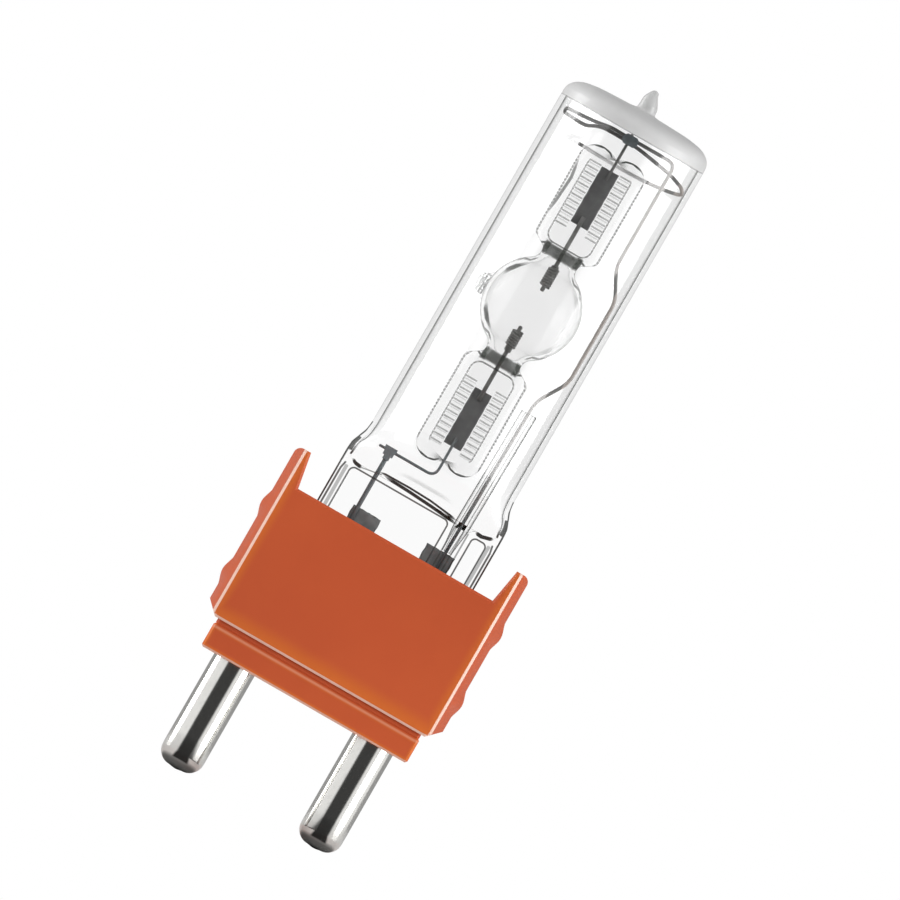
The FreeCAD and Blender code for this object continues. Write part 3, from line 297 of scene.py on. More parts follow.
def moulded_plastic(colours):
    """Glossy thermoset: a slow cloud between two oranges, with a painted warm glow along the sides
    and the foot of the broad faces, painted highlights on their bevels, a more saturated orange
    painted on the drafted flanks to offset their pale grazing reflection, and a clear skin where
    the sides turn."""
    finish = new_finish("moulded_plastic")
    place, (across, deep, up) = finish.place()
    cloud = finish.noise(place, 0.035, 2.0)
    grain = finish.noise(place, 3.5, 4.0)
    wide, far = across.size(), deep.size()
    low = cad("housing_front")[0]
    face, half_face = -low[1], 30.0
    side = wide - half_face
    foot = low[2] - up
    on_face = finish.rise(far, face - 0.9, face - 0.6)
    # Painted glow: where the warmer orange is laid along the sides and the foot of the broad
    # faces.
    sides = finish.rise(side + cloud * 0.8, -2.6, 0.2)
    bottom = finish.rise(foot + cloud * 1.5, -4.4, 0.4)
    # Painted tone: the flanks get a more saturated orange to offset their pale grazing reflection.
    flank = finish.rise(side, -0.3, 0.1) * (1.0 - on_face)
    bevel = finish.within(far, face - 0.64, face - 0.04, 0.05)
    # Painted highlight: a pale colour on the bevels at the sides and the foot of the broad faces.
    bevel_highlight_share = finish.rise(side.most(foot), -0.75, -0.5) * bevel
    base = finish.coats(
        full(colours.orange),
        (finish.rise(cloud, 0.3, 0.75) * 0.7, full(colours.orange_light)),
        (sides.most(bottom) * on_face * 0.75, full(colours.painted_edge_glow)),
        (flank * 0.8, full(colours.orange_side)),
        (bevel_highlight_share * 0.85, full(colours.painted_bevel_highlight)),
        *plate_coats(finish, colours, wide, far, up))
    return finish.close(finish.node("BsdfPrincipled", {}, {
        "Base Color": base, "Roughness": 0.34 + grain * 0.12, "IOR": 1.4,
        "Specular IOR Level": 0.25,
        "Coat Weight": finish.within(side, -1.0, 0.2, 0.15) * 0.5,
        "Normal": finish.bump(grain, 0.12, 0.02)}))


def plate_coats(finish, colours, wide, far, up):
    """The plate's face: a painted warm highlight line below its top, a painted warm glow at its
    sides and foot, and painted pale highlights on its foot's bevel and along that line."""
    high = cad("base_plate")[1]
    on_plate = finish.within(far, high[1] - 0.5, high[1] + 0.5) * (
        1.0 - finish.rise(up, 6.6, 6.9))
    side = finish.rise(wide, high[0] - 1.4, high[0] - 0.1)
    foot = 1.0 - finish.rise(up, 0.2, 1.5)
    # Painted glow and painted highlights on the plate's face.
    glow = strongest(side, foot, finish.within(up, 5.3, 5.9, 0.5) * 0.9)
    edge = (1.0 - finish.rise(up, 0.35, 0.6)).most(finish.within(up, 5.5, 5.9, 0.4) * 0.45)
    return [(glow * on_plate, full(colours.painted_edge_glow)),
            (edge * on_plate * 0.7, full(colours.painted_bevel_highlight))]


def plated_metal(colours):
    """Polished plating, a little duller in clouds."""
    finish = new_finish("plated_metal")
    spots = finish.noise(finish.place()[0], 0.5, 3.0)
    tint = finish.blend(finish.rise(spots, 0.4, 0.8), full(colours.nickel),
                        full(colours.nickel, 0.92))
    return finish.close(finish.node("BsdfPrincipled", {}, {
        "Base Color": tint, "Metallic": 1.0, "Roughness": 0.09 + spots * 0.06}))


# Each: colour, roughness, metallic, grain in cycles a millimetre, the grain's height in
# millimetres, and how dark the clouds are.
DULL = {
    "drawn_wire": ("wire", 0.45, 0.15, 2.0, 0.02, 0.8),
    "tungsten": ("tungsten", 0.5, 0.2, 2.5, 0.03, 0.6),
    "sealing_foil": ("foil", 0.55, 0.3, 1.2, 0.05, 0.72),
    "pinch_foil": ("seal_foil", 0.55, 0.2, 1.2, 0.05, 0.72),
    "clamp_strip": ("clamp", 0.5, 0.15, 1.5, 0.05, 0.65),
    "tag_brass": ("brass", 0.3, 1.0, 1.0, 0.02, 0.85),
    "nut_steel": ("nickel", 0.35, 1.0, 1.0, 0.02, 0.8),
    "cast_cement": ("cement", 0.9, 0.0, 1.2, 0.2, 0.85),
}


def dull_finish(name, colours):
    """A matt surface with a fine grain and darker clouds, as where metal has oxidised."""
    tint, roughness, metallic, grain_scale, grain_height, darker = DULL[name]
    tint = getattr(colours, tint)
    finish = new_finish(name)
    place, (across, deep, up) = finish.place()
    cloud = finish.noise(place, grain_scale * 0.25, 3.0)
    grain = finish.noise(place, grain_scale, 4.0)
    shade = finish.blend(finish.rise(cloud, 0.3, 0.75), full(tint), full(tint, darker))
    if name == "drawn_wire":
        shade = wire_by_place(finish, colours, shade, across, deep, up)
    return finish.close(finish.node("BsdfPrincipled", {}, {
        "Base Color": shade, "Metallic": metallic, "Roughness": roughness + grain * 0.15,
        "Normal": finish.bump(grain, 0.3, grain_height)}))


def wire_by_place(finish, colours, shade, across, deep, up):
    """The wire's colour by its place: a bluish grey painted low in the lamp to offset the orange
    light the base bounces on it, white painted behind the burner's seal in place of the light its
    glass shows there, and a painted reflection of the soft boxes at the right, where it is lit."""
    # Painted offset of bounce light: a bluish grey low in the lamp.
    shade = finish.blend(finish.rise(up, 62.0, 84.0), full(colours.wire_cool), shade)
    # Painted light: white where the wire runs behind the seal's glass, in place of the light that
    # glass shows.
    behind = finish.rise(deep, 8.0, 9.0) * (1.0 - finish.rise(across.size(), 8.5, 8.9))
    # Painted reflection of the soft boxes at the right.
    pale = finish.within(across, 9.2, 13.6) * 0.3 + finish.rise(across, 15.6, 15.9) * 0.65
    return finish.coats(shade, (behind, grey(0.97)),
                        (pale * finish.rise(up, 52.0, 66.0), full(colours.wire_pale)))


# Each: how dark the glass is edge-on, the facing at which that starts and its power, the haze
# all over, the ripple in its surface, the veil of streaks, and how much it mirrors.
GLASS = {
    "jacket_outside": (0.09, 0.8, 1.5, 0.008, 0.02, 0.035, 1.25),
    "jacket_inside": (1.0, 0.7, 1.1, 0.004, 0.02, 0.02, 0.4),
    "burner_quartz": (0.5, 0.65, 1.7, 0.004, 0.04, 0.0, 0.15),
    "burner_hollow": (0.15, 0.3, 1.6, 0.003, 0.03, 0.012, 0.1),
    "sleeve_quartz": (1.0, 0.2, 0.9, 0.01, 0.0, 0.0, 0.4),
}


def thin_glass(name, colours, paint=None):
    """Clear glass seen straight through: dark where it turns edge-on, glossy, nearly empty
    elsewhere. Paint gives what is laid on this glass, as (share, colour, roughness): frost, and
    painted shade and highlights standing in for how the glass refracts where it turns and
    thickens."""
    edge, start, power, haze, ripple, veil, polish = GLASS[name]
    finish = new_finish(name)
    place, (across, deep, up) = finish.place()
    waves = finish.noise(place, 0.5, 2.0, (1.0, 1.0, 0.15))
    normal = finish.bump(waves, ripple, 1.0)
    facing = finish.node("LayerWeight", {}, {"Blend": 0.5, "Normal": normal}, "Facing")
    shade = finish.rise(facing, start, 1.0) ** power * edge + haze
    streaks = finish.noise(place, 0.35, 2.0, (1.0, 1.0, 0.02))
    shade = shade + (finish.rise(facing, 0.12, 0.4) * (0.4 + streaks) * veil
                     * finish.rise(up, 64.0, 76.0))
    base, roughness, cover = full(colours.glass_shade), 0.3, 1.0
    if paint:
        # The paint's frost and painted shade set the glass's cover and colour.
        share, tint, roughness = paint(finish, place, across, deep, up)
        base = finish.blend(share, base, tint)
        shade = shade.most(share)
        cover = 1.0 - share * 0.8
    body = finish.node("BsdfPrincipled", {}, {
        "Base Color": base, "Roughness": roughness, "Alpha": shade})
    glossy = finish.node("BsdfGlossy", {}, {
        "Color": grey(1.0), "Roughness": 0.03, "Normal": normal})
    low = 0.25 + finish.rise(up, 60.0, 74.0) * 0.75
    mirror = (facing ** 5.0 * 0.15 + 0.045) * cover * polish * low
    return finish.close(finish.mix(mirror, body, glossy))


# Surfaces

def smooth_curve(knots, places):
    """Values through the knots (place, value, ...), by a cubic whose slope at each knot is the
    harmonic mean of the slopes beside it, so that it never overshoots. One column a value."""
    table = np.array(knots, float)
    at, values = table[:, 0], table[:, 1:]
    run = np.diff(at)[:, None]
    slope = np.diff(values, axis=0) / run
    same = slope[:-1] * slope[1:] > 0
    total = np.where(same, slope[:-1] + slope[1:], 1.0)
    inner = np.where(same, 2 * slope[:-1] * slope[1:] / total, 0.0)
    slopes = np.vstack([slope[:1], inner, slope[-1:]])
    place = np.clip(places, at[0], at[-1])
    index = np.clip(np.searchsorted(at, place, side="right") - 1, 0, len(at) - 2)
    share = ((place - at[index]) / run[index, 0])[:, None]
    here, there = values[index], values[index + 1]
    rise_here, rise_there = slopes[index] * run[index], slopes[index + 1] * run[index]
    return ((1 + 2 * share) * (1 - share) ** 2 * here + share * (1 - share) ** 2 * rise_here
            + share ** 2 * (3 - 2 * share) * there + share ** 2 * (share - 1) * rise_there)


def step(value, low, high):
    """0 below low, 1 above high, and 3t^2 - 2t^3 between."""
    share = np.clip((value - low) / (high - low), 0.0, 1.0)
    return share * share * (3 - 2 * share)


def past_edges(beside, before):
    """Distance past two edges at right angles, round the corner between them: the hypotenuse of
    what lies outside them, and inside them the nearer edge as a negative."""
    return (np.hypot(np.maximum(beside, 0), np.maximum(before, 0))
            + np.minimum(np.maximum(beside, before), 0))


def heights(*stretches):
    """Places in several stretches, each given as (low, high, count)."""
    return np.concatenate([np.linspace(*stretch) for stretch in stretches])


def around(count):
    """Angles once round, without the last."""
    return np.linspace(0.0, 2 * np.pi, count, endpoint=False)[None, :]


def rounds(half_width, half_depth, fullness, count, crowd):
    """Rings of a squared-off ellipse: the point at angle t lies where the sum of |x / width| and
    |y / depth|, both raised to the fullness, is 1. Crowd moves points to the flat sides."""
    turn = around(count)
    angle = np.arctan2(crowd * np.sin(turn), np.cos(turn))
    across, deep = np.cos(angle), np.sin(angle)
    full_by = fullness[:, None]
    reach = (np.abs(across) ** full_by + np.abs(deep) ** full_by) ** (-1 / full_by)
    return half_width[:, None] * reach * across, half_depth[:, None] * reach * deep


def ring_grid(across, deep, up):
    """Points from their three coordinates, where one height may serve a whole ring."""
    return np.stack([across, deep, np.broadcast_to(up, across.shape)], axis=-1)


def turned_form(profile, centre, count):
    """A profile (radius, height) carried once round an upright axis."""
    table = np.array(profile, float)
    turn = around(count)
    radius, height = table[:, :1], table[:, 1:2]
    return ring_grid(centre[0] + radius * np.cos(turn), centre[1] + radius * np.sin(turn),
                     height)


def bent(points, reach, steps=10):
    """A path through straight runs, each corner replaced by the parabola between the two points
    that lie reach before and after it."""
    points = np.array(points, float)
    reach = np.broadcast_to(reach, (len(points) - 2,))
    before, corner, after = points[:-2], points[1:-1], points[2:]
    inward, outward = corner - before, after - corner
    room = np.minimum(np.linalg.norm(inward, axis=1), np.linalg.norm(outward, axis=1)) * 0.49
    back = np.minimum(reach, room)[:, None]
    start = corner - inward / np.linalg.norm(inward, axis=1)[:, None] * back
    end = corner + outward / np.linalg.norm(outward, axis=1)[:, None] * back
    share = np.linspace(0.0, 1.0, steps)[None, :, None]
    curve = ((1 - share) ** 2 * start[:, None] + 2 * share * (1 - share) * corner[:, None]
             + share ** 2 * end[:, None])
    return np.vstack([points[:1], curve.reshape(-1, 3), points[-1:]])


def wire_grid(path, radius, up, sides):
    """A circle carried along a path, square to it, with the up direction kept. Its ends are
    rounded over by three smaller rings."""
    along = np.gradient(path, axis=0)
    along /= np.linalg.norm(along, axis=1)[:, None]
    side = np.cross(along, np.array(up, float))
    side /= np.linalg.norm(side, axis=1)[:, None]
    top = np.cross(side, along)
    lean = np.array([0.35, 0.75, 0.95])
    depth = 1 - np.sqrt(1 - lean ** 2)
    heads = path[0] + along[0] * radius * 0.5 * depth[:, None]
    tails = path[-1] - along[-1] * radius * 0.5 * depth[::-1, None]
    heads[0] = path[0]
    tails[-1] = path[-1]
    path = np.vstack([heads, path[1:-1], tails])
    side, top = [np.vstack([np.repeat(way[:1], 3, 0), way[1:-1], np.repeat(way[-1:], 3, 0)])
                 for way in (side, top)]
    radii = np.concatenate([radius * lean, np.full(len(path) - 6, radius),
                            radius * lean[::-1]])
    turn = around(sides)[:, :, None]
    spokes = side[:, None] * np.cos(turn) - top[:, None] * np.sin(turn)
    return path[:, None] + spokes * radii[:, None, None]


def helix(low, high, radius, pitch):
    """A screw line about the lamp's axis: height grows with the angle by the pitch a turn."""
    turns = abs(high - low) / pitch
    steps_a_turn = 20
    angle = np.linspace(0.0, 2 * np.pi * turns, int(turns * steps_a_turn) + 2)
    height = low + (high - low) * angle / angle[-1]
    return np.stack([radius * np.cos(angle), radius * np.sin(angle), height], axis=-1)


# Meshes

class Shape:
    """Grids of points put together as one mesh, in millimetres."""

    def __init__(self):
        self.points = []
        self.quads = []
        self.fans = []
        self.count = 0

    def skin(self, grid, slot=0, capped=(True, True), turned=False):
        """A surface over a grid (row, column, 3) that closes on itself along its columns, with
        a point in the middle of each end. Turned, it faces inwards, as a hollow does."""
        rows, columns = grid.shape[:2]
        first = self.count + np.arange(rows * columns).reshape(rows, columns)
        beside = np.roll(first, -1, axis=1)
        quads = np.stack([first[:-1], beside[:-1], beside[1:], first[1:]], axis=-1)
        faces = [quads.reshape(-1, 4)]
        self.points.append(grid.reshape(-1, 3))
        self.count += rows * columns
        for row, ends in ((0, (beside, first)), (-1, (first, beside))):
            if capped[row]:
                self.points.append(grid[row].mean(axis=0)[None, :])
                centre = np.full(columns, self.count)
                self.count += 1
                faces.append(np.stack([centre, ends[0][row], ends[1][row]], axis=-1))
        if turned:
            faces = [face[:, ::-1] for face in faces]
        self.quads.append((faces[0], slot))
        self.fans += [(fan, slot) for fan in faces[1:]]
        return self

    def piece(self, name, materials, slot, node):
        """Puts the grids into a mesh, rides it on the lamp and takes the node's place."""
        points = np.concatenate(self.points) * MM
        groups = self.quads + self.fans
        corners = np.concatenate([group.reshape(-1) for group, mark in groups])
        totals = np.concatenate([np.full(len(group), group.shape[1]) for group, mark in groups])
        marks = np.concatenate([np.full(len(group), mark) for group, mark in groups])
        starts = np.concatenate([[0], np.cumsum(totals)[:-1]])
        mesh = bpy.data.meshes.new(name)
        mesh.vertices.add(len(points))
        mesh.vertices.foreach_set("co", points.reshape(-1).astype(np.float32))
        mesh.loops.add(len(corners))
        mesh.loops.foreach_set("vertex_index", corners.astype(np.int32))
        mesh.polygons.add(len(totals))
        mesh.polygons.foreach_set("loop_start", starts.astype(np.int32))
        mesh.polygons.foreach_set("loop_total", totals.astype(np.int32))
        mesh.polygons.foreach_set("material_index", marks.astype(np.int32))
        mesh.update(calc_edges=True)
        mesh.validate()
        mesh.polygons.foreach_set("use_smooth", np.ones(len(mesh.polygons), bool))
        for material in materials:
            mesh.materials.append(material)
        settle(bpy.data.objects.new(name, mesh), node)


def settle(piece, node):
    """Puts a piece into the scene in the place of a node."""
    bpy.context.scene.collection.objects.link(piece)
    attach(piece, "root")
    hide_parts(node)


def softened(node, name, material, edge, segments=3):
    """A node's own form, merged, with its edges rounded by a live Bevel of the given width."""
    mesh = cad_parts[node].data.copy()
    mesh.name = name
    mesh.materials.clear()
    mesh.materials.append(material)
    work = bmesh.new()
    work.from_mesh(mesh)
    bmesh.ops.remove_doubles(work, verts=work.verts, dist=0.002 * MM)
    bmesh.ops.dissolve_limit(work, angle_limit=math.radians(0.5), verts=work.verts,
                             edges=work.edges)
    bmesh.ops.recalc_face_normals(work, faces=work.faces)
    for face in work.faces:
        face.smooth = True
        face.material_index = 0
    work.to_mesh(mesh)
    work.free()
    piece = bpy.data.objects.new(name, mesh)
    bevel = piece.modifiers.new("soft_edges", "BEVEL")
    bevel.width = edge
    bevel.segments = segments
    bevel.limit_method = "ANGLE"
    bevel.angle_limit = math.radians(24)
    bevel.harden_normals = True
    settle(piece, node)


# Pieces

class LampOperator:
    bl_options = {"REGISTER", "UNDO"}

    @property
    def colours(self):
        return bpy.context.scene.lamp_colours

    def mm(self, size):
        """One of the lamp's sizes, in millimetres."""
        return getattr(bpy.context.scene.lamp_sizes, size) / MM

    def dull(self, name):
        return dull_finish(name, self.colours)


class LAMP_OT_base(LampOperator, bpy.types.Operator):
    """The moulded base: two half shells and the plate under them"""
    bl_idname = "lamp.base"
    bl_label = "Moulded base"

    def execute(self, context):
        plastic = moulded_plastic(self.colours)
        for node in ("housing_front", "housing_back", "base_plate"):
            softened(node, node + "_moulding", plastic,
                     context.scene.lamp_sizes.soft_edge)
        return {"FINISHED"}


class LAMP_OT_pins(LampOperator, bpy.types.Operator):
    """Two plated contact pins, turned, with rounded ends"""
    bl_idname = "lamp.pins"
    bl_label = "Contact pins"

    def execute(self, context):
        radius, stud, bend = self.mm("pin_radius"), 3.0, 3.8
        nickel = plated_metal(self.colours)
        low, high = cad("left_contact_pin")
        turn = np.radians(np.linspace(-90, 0, 14))
        nose = np.stack([radius - bend + bend * np.cos(turn),
                         low[2] + 0.25 + bend + bend * np.sin(turn)], axis=-1)
        profile = [(0.05, low[2]), (0.7, low[2] + 0.06), *nose.tolist(),
                   (radius, -20.0), (radius, -1.0), (radius, 0.0), (radius, 0.36),
                   (radius - 0.05, 0.4), (stud, 0.4), (stud, high[2] - 0.4), (2.6, high[2])]
        for side, name in ((-1, "left"), (1, "right")):
            centre = (side * self.mm("pin_spacing") / 2, 0.0)
            Shape().skin(turned_form(profile, centre, 96)).piece(
                name + "_pin_turned", [nickel], "pin_plating", name + "_contact_pin")
        return {"FINISHED"}


class LAMP_OT_jacket(LampOperator, bpy.types.Operator):
    """The blown glass jacket with its frosted dome, exhaust tip and pressed pinch"""
    bl_idname = "lamp.jacket"
    bl_label = "Glass jacket"

    # Painted shade: dark lines standing in for the glass's refraction where it turns, as
    # (strength, width, taper, knots). Knots at the sides are (height, distance from the middle),
    # on the hollow's floor (across, height), and on its riser (height, across).
    side_lines = [
        (1.0, 0.34, 0.3, [(43.0, 21.45), (59.5, 21.4), (61.5, 20.9), (64.0, 19.9), (67.0, 19.5)]),
        (1.0, 0.3, 0.3, [(57.4, 20.2), (61.0, 19.65), (64.0, 18.55), (69.0, 18.2)]),
        (0.9, 1.4, 0.3, [(58.2, 21.1), (60.5, 21.0), (62.4, 20.5)]),
        (0.8, 0.3, 0.3, [(43.0, 20.6), (53.5, 20.6), (55.5, 20.2)]),
        (0.35, 0.7, 0.3, [(43.0, 19.5), (55.0, 19.6)])]
    floor_lines = [
        (1.0, 0.7, 0.8, [(-19.3, 56.8), (-18.0, 56.2), (-16.0, 55.9)]),
        (1.0, 0.3, 2.0, [(-12.4, 57.1), (-10.5, 57.4), (-4.0, 57.5), (2.0, 57.3), (9.8, 56.4)]),
        (1.0, 0.6, 4.0, [(-11.8, 57.3), (-9.5, 56.9), (-3.0, 56.6), (3.0, 56.2), (11.4, 55.4)]),
        (0.5, 0.12, 0.3, [(-16.5, 55.9), (-11.0, 56.9)]),
        (1.0, 0.75, 0.8, [(15.0, 56.1), (16.8, 55.9), (19.8, 56.7)])]
    floor_riser = [(1.0, 0.6, 0.3, [(54.6, 10.4), (56.6, 11.2)])]

    def pressing(self, finish, across, deep, up):
        """Painted shade: the dark lines that the pinch shows where its glass turns, standing in
        for
        refraction: its sides, the panels' outlines, the rib, and the floor of the hollow above it."""
        edges = finish.strokes(up, across.size(), self.side_lines)
        rib = finish.within(up, 44.0, 55.0) * 0.6
        panels = strongest(
            finish.outline(across, up, (-5.05, 40.0), (13.45, 15.2), 1.3, 0.25),
            finish.outline(across, up, (17.1, 40.0), (1.9, 14.8), 1.2, 0.25),
            *[(1.0 - finish.rise((across - place).size(), 0.1, 0.3)) * rib
              for place in (10.2, 12.6, 13.8)])
        floor = finish.strokes(across, up, self.floor_lines).most(
            finish.strokes(up, across, self.floor_riser))
        thin = 1.0 - finish.rise(deep.size(), 4.6, 6.5)
        return (edges.most(panels * 0.8) * thin).most(floor) * 0.85

    def marks(self, finish, place, across, deep, up):
        """The frosted dome above the frost's edge, with painted shade greying its shoulder and
        top, a painted highlight streak at the left, and thinner on the tip, and the pinch's
        painted lines."""
        frost, shade = self.colours.frost, self.colours.glass_shade
        cloud = finish.noise(place, 0.25, 3.0)
        edge = self.mm("frost_edge")
        tip = finish.rise(up, 163.0, 165.0)
        cover = finish.rise(up + cloud * 0.3, edge, edge + 0.5) * (0.95 - tip * 0.3 - cloud * 0.05)
        frosted = finish.rise(up, edge - 0.6, edge - 0.4)
        # Painted highlight: the streak, which the painted shade on the shoulder and top leaves
        # out.
        streak = finish.within(across + cloud, -14.2, -12.8, 1.4)
        shoulder = finish.rise(up, 159.5, 163.0).most(finish.rise(across.size(), 15.5, 19.0))
        frosting = finish.blend(shoulder * (1.0 - tip) * (1.0 - streak), full(frost, 0.96),
                                full(frost, 0.88))
        frosting = finish.blend(tip, frosting, full(frost, 1.12))
        tint = finish.blend(frosted, full(shade, 0.3), frosting)
        return cover.most(self.pressing(finish, across, deep, up)), tint, 0.5

    def outer(self):
        """Sections from the flat pinch through the round tube to the dome and the tip, which
        leans, with the panels pressed into the pinch."""
        radius, pinch = self.mm("glass_radius"), self.mm("pinch_half")
        low, high = cad("outer_envelope")
        knots = [
            (low[2], pinch, 4.5, 6.0, 0.0), (55.3, pinch, 4.5, 6.0, 0.0),
            (57.5, pinch, 6.0, 4.6, 0.0), (60.0, 21.45, 9.8, 3.0, 0.0),
            (62.5, 20.6, 14.4, 2.2, 0.0), (65.0, 19.75, 18.2, 2.0, 0.0)]
        circles = [
            (67.5, radius, 0), (157.4, radius, 0), (158.4, 19.47, 0), (159.3, 19.35, 0),
            (160.2, 18.95, 0), (161.0, 18.3, 0), (161.6, 17.5, 0), (162.06, 16.6, 0),
            (162.45, 15.4, 0), (162.7, 14.0, 0), (163.0, 11.7, 0), (163.12, 9.0, 0),
            (163.2, 7.0, 0), (163.27, 4.6, 0), (163.35, 3.2, 0), (163.6, 2.5, 0.2),
            (164.2, 2.38, 0.22), (165.0, 2.3, 0.2), (166.0, 2.1, 0), (166.9, 1.75, -0.15),
            (167.6, 1.4, -0.15), (168.2, 1.1, -0.1), (168.7, 0.85, 0), (168.95, 0.55, 0),
            (high[2], 0.08, 0)]
        knots += [(height, reach, reach, 2.0, shift) for height, reach, shift in circles]
        rows = heights((low[2], 43.0, 6), (43.6, 66.0, 120), (67.0, 157.0, 24),
                       (157.4, 163.2, 40), (163.3, high[2], 30))
        values = smooth_curve(knots, rows)
        across, deep = rounds(*values[:, :3].T, 288, 2.0)
        height = np.broadcast_to(rows[:, None], across.shape)
        panels = (self.panel(across, height, -18.5, 8.6, 55.1)
                  + self.panel(across, height, 14.9, 18.5, 54.8))
        web = 3.0
        flat = np.sign(deep) * np.minimum(np.abs(deep), web)
        pressed = np.abs(deep) > web * 0.4
        deep = np.where(pressed, deep + (flat - deep) * panels, deep)
        return ring_grid(across + values[:, 3:4], deep, height)

    @staticmethod
    def panel(across, height, left, right, top):
        """1 inside a panel with round top corners and 0 outside it, by the distance to the
        panel's outline."""
        middle, half = (left + right) / 2, (right - left) / 2
        corner, soft = 1.3, 0.35
        away = past_edges(np.abs(across - middle) - (half - corner), height - (top - corner))
        return 1 - step(away, corner - soft, corner + soft)

    def inner(self):
        """The hollow: sections from the arched floor above the pinch to below the dome."""
        radius = self.mm("glass_radius") - self.mm("glass_wall")
        knots = [
            (56.35, 18.6, 0.3, 2.6), (56.6, 19.3, 1.3, 2.8), (57.4, 20.0, 2.6, 3.0),
            (59.0, 20.2, 6.2, 2.8), (61.0, 19.7, 10.8, 2.4), (63.0, 18.8, 14.6, 2.1),
            (65.0, 18.4, 16.9, 2.0), (67.5, radius, radius, 2.0), (157.4, radius, radius, 2.0),
            (158.9, 17.9, 17.9, 2.0), (160.2, 16.9, 16.9, 2.0), (161.0, 15.4, 15.4, 2.0),
            (161.3, 13.6, 13.6, 2.0), (161.6, 7.0, 7.0, 2.0), (161.75, 0.4, 0.4, 2.0)]
        rows = heights((56.35, 57.4, 12), (57.7, 68.0, 36), (69.0, 157.0, 20),
                       (157.6, 161.75, 24))
        across, deep = rounds(*smooth_curve(knots, rows).T, 192, 1.6)
        near_floor = (1 - step(rows, 56.5, 61.0))[:, None]
        arch = 1.7 * np.exp(-((across + 0.5) / 9.0) ** 4) * step(deep, -0.4, 0.6)
        sink = -1.4 * np.exp(-((across - 12.4) / 2.0) ** 4)
        return ring_grid(across, deep, rows[:, None] + near_floor * (arch + sink))

    def execute(self, context):
        outside = thin_glass("jacket_outside", self.colours, self.marks)
        inside = thin_glass("jacket_inside", self.colours)
        shape = Shape().skin(self.outer()).skin(self.inner(), slot=1, turned=True)
        shape.piece("jacket_glass_blown", [outside, inside], "jacket_glass", "outer_envelope")
        return {"FINISHED"}


